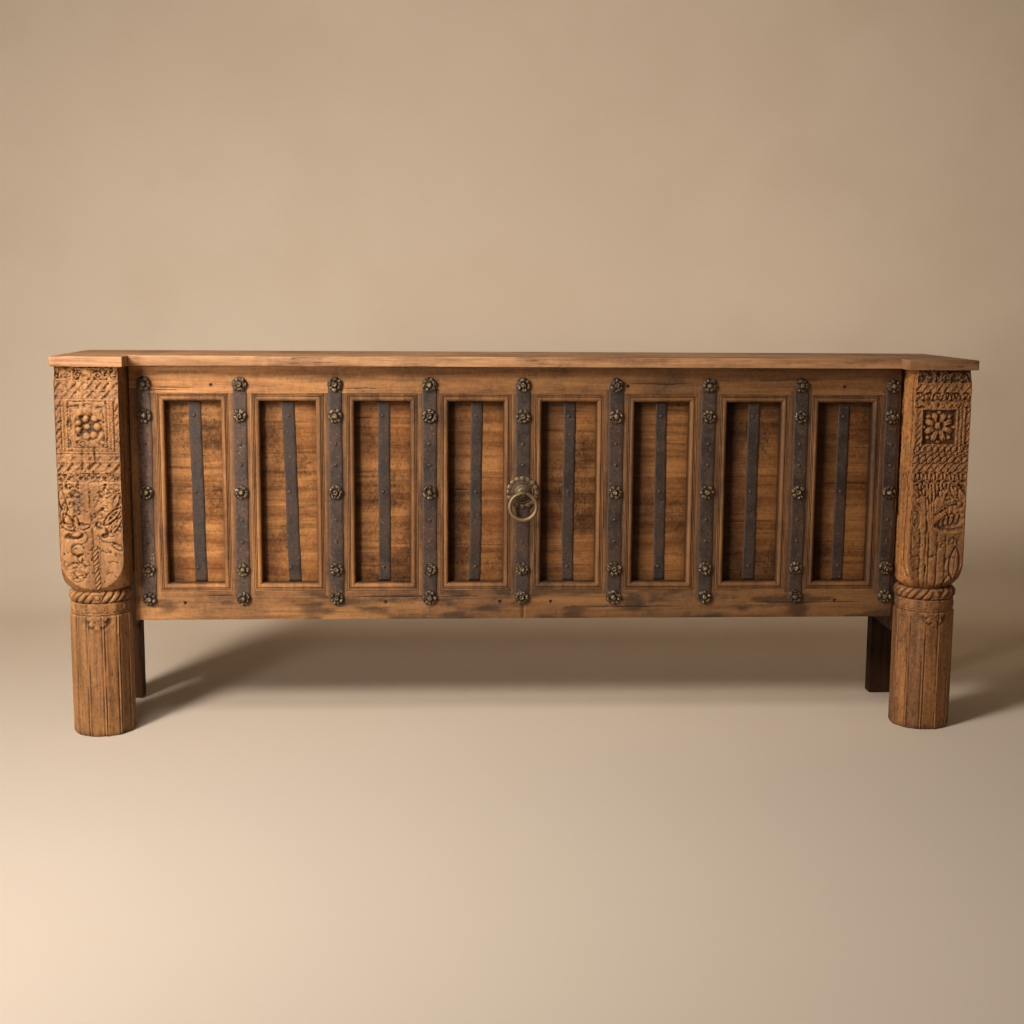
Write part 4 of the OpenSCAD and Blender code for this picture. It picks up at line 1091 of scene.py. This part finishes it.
def moulding(i):
    (x0, y0, z0), (x1, y1, z1) = box_mm("panel_moulding_%d" % i)
    # profile from the frame inwards: inset, depth behind the front plane of the strip
    prof = [(0, y1 - y0), (0, 1.6), (0.7, 0.7), (2.0, 0.5), (3.0, 0.9), (3.5, 2.6), (4.1, 2.6), (4.6, 0.8),
            (6.2, 0.4), (6.8, 2.8), (7.4, 2.8), (8.0, 0.7), (9.5, 0.1), (11.5, 0.0), (13.5, 0.4), (15.5, 1.5),
            (17.2, 3.4), (18.3, 6.0), (STRIP_W, 10.0), (STRIP_W, y1 - y0)]
    ins, dep = np.array(prof).T
    n = len(prof)
    # dirt and painted shade in the grooves and on the inner slope, paler on the front flats
    groove = np.where(np.abs(dep - 2.7) < 0.3, -1.4, np.where(dep > 5, -0.75, np.where(dep < 0.2, 0.3, 0.0)))
    rubbed = np.where((ins > 8.5) & (ins < 14), 0.6, 0.1)
    verts, faces, tone, cav, edge, base = [], [], [], [], [], 0
    for k in range(4):
        length = (x1 - x0) if k % 2 == 0 else (z1 - z0)
        m = max(12, int(length / 9))
        a = ins + 0.25 + np.linspace(0, 1, m)[:, None] * (length - 2 * ins - 0.5)
        sway = 0.5 * fbm(a / 70, i * 3.1 + k, ins * 0.07, 120 + i, 3)
        wear = 0.6 * unit(fbm(a / 25, ins / 9, k + i, 140 + i, 3))
        d = dep + np.where((dep < y1 - y0) & (dep > 0), wear, 0) * (ins > 0.5) * (ins < 18.5)
        s = ins + sway * (ins > 1) * (ins < 18)
        # along the bottom, up the right, back along the top, down the left
        X, Z = ((x0 + a, z0 + s), (x1 - s, z0 + a), (x1 - a, z1 - s), (x0 + s, z1 - a))[k]
        verts.append(np.stack([X, np.broadcast_to(y0 + d, X.shape), Z], -1).reshape(-1, 3))
        faces.append(sheet_quads(m, n, base, wrap=True, flip=True))
        # painted shade towards the right for the lamps' falloff, times random patches of tone
        painted_falloff_and_patches = 1.25 * 0.46 ** rightward(X) * (0.92 + 0.2 * fbm(X / 40, Z / 40, 0, 160 + i, 3))
        tone.append((1.0 + 0.06 * math.sin(i * 7.3 + k * 2.1)) * painted_falloff_and_patches.ravel())
        cav.append(np.tile(groove, m))
        edge.append(np.tile(rubbed, m))
        base += m * n
    verts, faces, tone, cav, edge = (np.concatenate(a) for a in (verts, faces, tone, cav, edge))
    add_mesh("moulding_%d" % i, verts, [faces], W_MOULD, ["panel_moulding_%d" % i],
             {"tone": tone, "cav": cav, "edge": edge})


for i in range(1, PANELS + 1):
    moulding(i)


# Iron straps

def strap(name, node, seed, top_shift, low_shift, width, tone, round_ends):
    lo, hi = box_mm(node)
    w, xc = hi[0] - lo[0], (lo[0] + hi[0]) / 2
    zs = np.linspace(lo[2], hi[2], 112)
    U, Z = np.meshgrid([-1, -0.97, -0.9, -0.7, -0.45, -0.15, 0.15, 0.45, 0.7, 0.9, 0.97, 1], zs)
    half = w / 2 * width * (1 - 0.05 * (1 + fbm(Z / 46, np.sign(U) * 2, 0, seed, 3)))
    if round_ends:
        e = np.minimum(Z - lo[2], hi[2] - Z)
        half = half * np.where(e < w / 2, np.sqrt(np.clip(1 - (1 - e / (w / 2)) ** 2, 0.02, 1)), 1)
    mid = xc + low_shift + (top_shift - low_shift) * (Z - lo[2]) / (hi[2] - lo[2])
    X = mid + 0.8 * noise(Z / 120, 0, 0, seed + 2) + U * half
    Y = lo[1] + 0.35 * (1 + fbm(X / 16, Z / 16, 0, seed + 4, 3)) + 0.9 * step(0.86, 1.0, np.abs(U))
    back = np.stack([X[:, [-1, 0]], np.full((len(zs), 2), hi[1]), Z[:, :2]], -1)
    v = np.concatenate([np.stack([X, Y, Z], -1), back], 1)
    nr, nc = v.shape[:2]
    ends = np.array([np.arange(nc)[::-1], (nr - 1) * nc + np.arange(nc)])
    edge = np.zeros((nr, nc))
    edge[:, [0, 1, nc - 4, nc - 3]] = 1
    add_mesh(name, v, [sheet_quads(nr, nc, wrap=True), ends], IRON, [node],
             {"edge": edge, "cav": edge * 0, "tone": edge * 0 + tone})


# width and tone of each bar strap; shift at the top, shift at the foot and width of each panel strap. The bar
# straps' tones are painted light: paler on the first straps at the left, most on the first, which lies in the
# left post's shadow
BAR_STRAPS = ((0.9, 2.05), (0.92, 1.3), (0.94, 1.05), (0.96, 0.92), (1.0, 0.9), (1.0, 0.92), (1.0, 0.95),
              (0.98, 0.95), (0.94, 0.95))
PANEL_STRAPS = ((2, 8, 0.97), (-1, 9, 1.0), (3, 2, 0.95), (2, -3, 0.92), (2, 0, 0.94), (1, 2, 0.9),
                (3, 1, 0.96), (2, -1, 0.92))
for i, (width, tone) in enumerate(BAR_STRAPS, 1):
    strap("iron_bar_strap_%d" % i, "bar_strap_%d" % i, 200 + i, rs.uniform(-1, 1), rs.uniform(-1, 1),
          width, tone, True)
for i, (top, low, width) in enumerate(PANEL_STRAPS, 1):
    strap("iron_panel_strap_%d" % i, "panel_strap_%d" % i, 220 + i, top, low, width, 0.76, False)


# Brass studs, nails and handle

def solids(node):
    """Lowest and highest corner of every separate solid of a node, from its mesh"""
    me = NODES[node].data
    n = len(me.vertices)
    co = np.empty(n * 3)
    me.vertices.foreach_get("co", co)
    co = co.reshape(-1, 3)
    par = list(range(n))

    def find(a):
        while par[a] != a:
            par[a] = par[par[a]]
            a = par[a]
        return a
    keys = {}
    for a, p in enumerate(np.round(co, 6)):
        keys.setdefault(tuple(p), a)
        par[a] = find(keys[tuple(p)])
    for e in me.edges:
        a, b = find(e.vertices[0]), find(e.vertices[1])
        if a != b:
            par[a] = b
    root = np.array([find(a) for a in range(n)])
    out = [(co[root == r].min(0) * 1000, co[root == r].max(0) * 1000) for r in np.unique(root)]
    return sorted(out, key=lambda b: (round(b[0][0]), -b[0][2]))


def heads(node):
    """Radius, middle, back and height of every round head of a node"""
    for lo, hi in solids(node):
        yield (hi[0] - lo[0]) / 2, (lo[0] + hi[0]) / 2, (lo[2] + hi[2]) / 2, hi[1], hi[1] - lo[1]


def circle(n):
    return np.arange(n) * 2 * np.pi / n


def rosettes():
    nt, verts, quads, fans, cavs, base = 40, [], [], [], [], 0
    rad = np.array([1.5, 3.2, 4.8, 6.2, 7.3, 8.2, 9.2, 10.4, 11.8, 13.2, 14.6, 15.8, 16.8, 17.6,
                    18.2, 18.6]) / 19
    TH, Q = np.meshgrid(circle(nt), rad)
    rng = np.random.RandomState(9)
    for R, cx, cz, yb, top in heads("rosette_studs"):
        turn, size = rng.uniform(0, 2 * np.pi), rng.uniform(0.88, 1.0)
        damage = rng.uniform(0.25, 1.15, 8)
        k = ((TH - turn + 0.22 * np.sin(TH * 2 + turn * 3)) * 8 / (2 * np.pi)) % 8
        petal = np.cos((k % 1 - 0.5) * np.pi)
        amp = damage[np.floor(k).astype(int) % 8]
        rr = Q * R * (0.86 + 0.14 * np.sqrt(unit(petal))) * size
        # boss in the middle, a ring round it, petals outside
        body = 0.30 + 0.34 * amp * np.sqrt(unit(petal)) * unit(1 - ((Q - 0.72) / 0.3) ** 2)
        body = np.where(Q > 0.95, 0.12, body)
        h = np.maximum(np.where((Q >= 0.40) & (Q < 0.52), 0.42, 0), np.where(Q >= 0.50, body, 0))
        h = np.where(Q < 0.40, 0.55 + 0.45 * dome_of(Q / 0.42), h)
        h = h + 0.17 * noise(rr * np.cos(TH) / 3.4 + cx, rr * np.sin(TH) / 3.4 + cz, 0, 4)
        # a pit in the middle of the boss of some studs
        if rng.rand() < 0.45:
            h = h - 0.34 * bell(Q * 19 - 1.0, 1.8)
        h = np.clip(h, 0.03, 1.0)
        v = np.stack([cx + rr * np.cos(TH), yb - h * top, cz + rr * np.sin(TH)], -1)
        low = v[-1].copy()
        low[:, 1] = yb
        verts.append(np.concatenate([v.reshape(-1, 3), low, [[cx, v[0, :, 1].mean(), cz], [cx, yb, cz]]]))
        q, fan = tube_faces(len(rad) + 1, nt, base)
        quads.append(q)
        fans.append(fan)
        cav = np.where(Q < 0.38, 0.5 + 0.9 * (1 - Q / 0.38), (petal * (0.35 + 0.65 * amp) - 0.55) * 2.0)
        cav = np.where((Q > 0.38) & (Q < 0.54), -1.1, cav)
        cav = np.where(Q > 0.93, -0.8, cav)
        cavs.append(np.concatenate([cav.ravel(), np.full(nt, -1.0), [1.0, -1]]))
        base += len(verts[-1])
    add_mesh("brass_rosettes", np.concatenate(verts), [np.concatenate(quads), np.concatenate(fans)], BRASS,
             ["rosette_studs"], {"cav": np.concatenate(cavs)})


def nails():
    nt, verts, quads, fans, base = 14, [], [], [], 0
    prof = (0.42, 0.97), (0.75, 0.72), (0.95, 0.32), (1.0, 0.0)
    th = circle(nt)
    rng = np.random.RandomState(12)
    for R, cx, cz, yb, top in heads("strap_nails"):
        dent = 1 - 0.14 * rng.rand(nt)
        v = [np.stack([cx + R * q * dent * np.cos(th), np.full(nt, yb - top * h),
                       cz + R * q * dent * np.sin(th)], -1) for q, h in prof]
        verts.append(np.concatenate(v + [[[cx, yb - top, cz], [cx, yb, cz]]]))
        q, fan = tube_faces(len(prof), nt, base)
        quads.append(q)
        fans.append(fan)
        base += len(verts[-1])
    add_mesh("iron_nails", np.concatenate(verts), [np.concatenate(quads), np.concatenate(fans)], IRON,
             ["strap_nails"], {"edge": np.full(base, 0.8), "tone": np.full(base, 1.0)})


def back_plate():
    lo, hi = box_mm("handle_plate")
    nt, yb, boss = 160, hi[1], 16
    th = circle(nt)
    # share of the radius, height over the strap
    prof = [(0.04, boss), (0.14, boss), (0.24, 15.8), (0.28, 15.4), (0.36, 12.4), (0.44, 9.0), (0.5, 6.4),
            (0.54, 4.6), (0.57, 4.0), (0.6, 4.8), (0.63, 5.0), (0.66, 4.2), (0.69, 3.8), (0.74, 3.9),
            (0.78, 4.3), (0.83, 4.5), (0.88, 4.3), (0.93, 3.9), (0.97, 3.4), (1.0, 2.4), (1.0, 0.0)]
    q, h = np.array(prof).T[:, :, None]
    scallop = np.abs(np.cos(th * 8))[None]
    rr = (hi[0] - lo[0]) / 2 * q * (1 - 0.07 * step(0.6, 1.0, q) * (1 - scallop ** 0.5))
    h = h + np.where((q > 0.7) & (q < 0.96), scallop - 0.6, 0)
    h = np.clip(h + np.where((q > 0.3) & (q < 0.5), 0.5 * np.cos(th * 12)[None], 0), 0, boss)
    v = np.stack([PIVOT_X + rr * np.cos(th), yb - h, PIVOT_Z + rr * np.sin(th)], -1)
    cav = np.where((q > 0.5) & (q < 0.59), -0.8, np.where((q > 0.65) & (q < 0.72), -0.7, 0.3))
    cav = cav + np.where(q > 0.7, (scallop - 0.6) * 1.6, 0)
    ends = [[PIVOT_X, yb - boss, PIVOT_Z], [PIVOT_X, yb, PIVOT_Z]]
    add_mesh("brass_back_plate", np.concatenate([v.reshape(-1, 3), ends]), tube_faces(len(prof), nt), BRASS,
             ["handle_plate"], {"cav": np.append(cav.ravel(), [0.3, 0])})


def pull_ring():
    """The ring, a little thicker at its lower side and worn bright there"""
    n1, n2 = 120, 28
    A, B = np.meshgrid(circle(n1), circle(n2), indexing="ij")
    low = 0.5 - 0.5 * np.cos(A)
    wire = 4.75 + 0.25 * low - 0.12 * (1 + fbm(np.cos(A) * 5, np.sin(A) * 5, B * 0.6, 300, 2))
    out = RING_R + wire * np.cos(B)
    v = np.stack([PIVOT_X + out * np.sin(A), PIVOT_Y + wire * np.sin(B),
                  PIVOT_Z - RING_R + out * np.cos(A)], -1)
    a, b = np.meshgrid(np.arange(n1), np.arange(n2), indexing="ij")
    here, there, on = a * n2, ((a + 1) % n1) * n2, (b + 1) % n2
    f = np.stack([here + b, here + on, there + on, there + b], -1).reshape(-1, 4)
    add_mesh("brass_pull_ring", v, [f], BRASS, ["pull_ring"],
             {"cav": 0.75 + 0.7 * low + 0.3 * np.sin(B + 2.2)}, body="ring")


rosettes()
nails()
back_plate()
pull_ring()
eye = NODES["handle_eye"]
eye.data.materials.clear()
eye.data.materials.append(BRASS)
bevel = eye.modifiers.new("eased", "BEVEL")
bevel.width = 0.0008
bevel.segments = 2
bevel.limit_method = "ANGLE"


# Stage

ROOM = (0.55, 0.46, 0.36)


def seen_ray(tree):
    """1 for what the camera sees, also in metal and glass"""
    path = tree.nodes.new("ShaderNodeLightPath")
    seen = path.outputs["Is Camera Ray"]
    for kind in ("Is Glossy Ray", "Is Transmission Ray"):
        most = tree.nodes.new("ShaderNodeMath")
        most.operation = "MAXIMUM"
        tree.links.new(most.inputs[0], seen)
        tree.links.new(most.inputs[1], path.outputs[kind])
        seen = most.outputs[0]
    return seen


def backdrop_look():
    m = Mat("backdrop")
    x, y, z = m.node("SeparateXYZ", m.co).outputs
    n = m.noise((0.7, 0.7, 0.7), (3, 1, 4), 4, 0.5)
    f = m.noise((3.2, 1.1, 3.2), (1, 6, 4), 3, 0.5)
    col = m.mix(m.lin(n, 0.3, 0.7), rgb(204, 186, 166), rgb(210, 193, 173))
    col = m.tint(col, m.lin(f, 0.4, 0.7), 0.25, rgb(198, 178, 156))
    col = m.mix(m.lin(y, 0.9, -0.6, 0.0, 0.75), col, rgb(206, 192, 178))
    # painted shade and light: the floor's colour is darker at the left and front, where the lamps are
    # strongest, and paler at the right and back, against their falloff
    fade = m.math("ADD", m.lin(x, -1.4, 1.4, -0.13, 0.1), m.lin(y, -0.8, 1.9, 0.8, 1.15))
    m.put("Base Color", m.scaled(col, fade))
    m.put("Roughness", 0.95)
    m.put("Specular IOR Level", 0.1)
    # Far floor, out of the lamps' reach, is as pale as the room for the camera.
    far = m.math("MAXIMUM", m.lin(y, -2.6, -5.0), m.lin(z, -0.01, -0.015))
    far = m.math("MAXIMUM", far, m.math("MAXIMUM", m.lin(x, 2.9, 5.0), m.lin(x, -2.9, -5.0)))
    glow = m.node("Emission", ROOM).outputs[0]
    pale = m.node("MixShader", m.times(far, seen_ray(m.t)), m.b.outputs[0]).outputs[0]
    m.put(pale.node.inputs[2], glow)
    # The wall's back lets a view from behind see the object.
    both = m.node("MixShader", m.node("NewGeometry").outputs["Backfacing"], pale)
    m.put(both.inputs[2], m.node("BsdfTransparent").outputs[0])
    m.put(m.out.inputs["Surface"], both.outputs[0])
    return m.m


def stage():
    """Floor that curves up into a wall, and a lower floor behind the wall, in metres"""
    bend = 1.1
    pts = [(y, 0.0) for y in (-9.0, -4, -2, -1, 0, 0.6, bend)]
    for k in range(1, 19):
        a = math.pi / 2 * k / 18
        pts.append((bend + bend * math.sin(a), bend - bend * math.cos(a)))
    pts += [(2.2, 2.0), (2.2, 3.5), (2.2, 6.5)]
    xs = np.linspace(-9, 9, 13)
    rear = [(1.0, -0.02), (9.0, -0.02)]
    v = [(x, y, z) for y, z in pts + rear for x in xs.tolist()]
    q = np.concatenate([sheet_quads(len(pts), len(xs)), sheet_quads(len(rear), len(xs), len(pts) * len(xs))])
    me = bpy.data.meshes.new("backdrop")
    me.from_pydata(v, [], q.tolist())
    me.polygons.foreach_set("use_smooth", np.ones(len(me.polygons), dtype=bool))
    me.materials.append(backdrop_look())
    ob = bpy.data.objects.new("backdrop", me)
    SCENE.collection.objects.link(ob)


def place(ob, right, up, ahead, at):
    """Put a lamp or the camera at a point, looking ahead"""
    ob.matrix_world = Matrix([[right[i], up[i], -ahead[i], at[i]] for i in range(3)] + [[0, 0, 0, 1]])
    SCENE.collection.objects.link(ob)


def area(name, at, target, size, power, colour, spread=180.0):
    li = bpy.data.lights.new(name, "AREA")
    li.shape = "DISK"
    li.size = size
    li.energy = power
    li.color = colour
    li.spread = math.radians(spread)
    d = np.array(target, float) - np.array(at, float)
    d = d / np.linalg.norm(d)
    x = np.cross(d, [0, 0, 1])
    x /= np.linalg.norm(x)
    place(bpy.data.objects.new(name, li), x, np.cross(x, d), d, at)


stage()
area("key", (-1.95, -2.2, 2.05), (-0.65, 0.0, 0.45), 0.7, 55, (1.0, 0.94, 0.86), 125)
area("low_key", (-2.0, -2.6, 1.0), (-0.5, 0.0, 0.6), 0.5, 21, (1.0, 0.94, 0.86), 125)
area("fill", (0.3, -5.0, 2.6), (0.0, 0.0, 0.4), 2.5, 11.5, (1.0, 0.86, 0.70))
area("overhead", (-1.25, -1.5, 2.75), (-0.4, 0.0, 0.0), 0.9, 38, (1.0, 0.95, 0.88))
world = bpy.data.worlds.new("world")
SCENE.world = world
world.use_nodes = True
wt = world.node_tree
sky = wt.nodes["Background"]
sky.inputs[0].default_value = (1.0, 0.72, 0.42, 1)
sky.inputs[1].default_value = 0.09
# The camera, metal and glass see a pale room beyond the floor's edge.
room = wt.nodes.new("ShaderNodeBackground")
room.inputs[0].default_value = (*ROOM, 1)
pick = wt.nodes.new("ShaderNodeMixShader")
wt.links.new(pick.inputs[0], seen_ray(wt))
wt.links.new(pick.inputs[1], sky.outputs[0])
wt.links.new(pick.inputs[2], room.outputs[0])
wt.links.new(wt.nodes["World Output"].inputs["Surface"], pick.outputs[0])

# Camera, as fitted to the photo
FOCAL_PX, PHOTO_PX = 1455.087, 1024
cam = bpy.data.cameras.new("camera")
cam.sensor_width = 36.0
cam.lens = FOCAL_PX / PHOTO_PX * 36.0
yaw, pitch, roll = map(math.radians, (3.00254, 8.46817, 0.38315))
ahead = np.array([math.sin(yaw) * math.cos(pitch), math.cos(yaw) * math.cos(pitch), -math.sin(pitch)])
level = np.array([math.cos(yaw), -math.sin(yaw), 0])
up = np.cross(level, ahead)
SCENE.camera = bpy.data.objects.new("camera", cam)
place(SCENE.camera, math.cos(roll) * level + math.sin(roll) * up,
      -math.sin(roll) * level + math.cos(roll) * up, ahead, (-0.19517, -3.55908, 1.04316))
SCENE.view_settings.view_transform = "Standard"
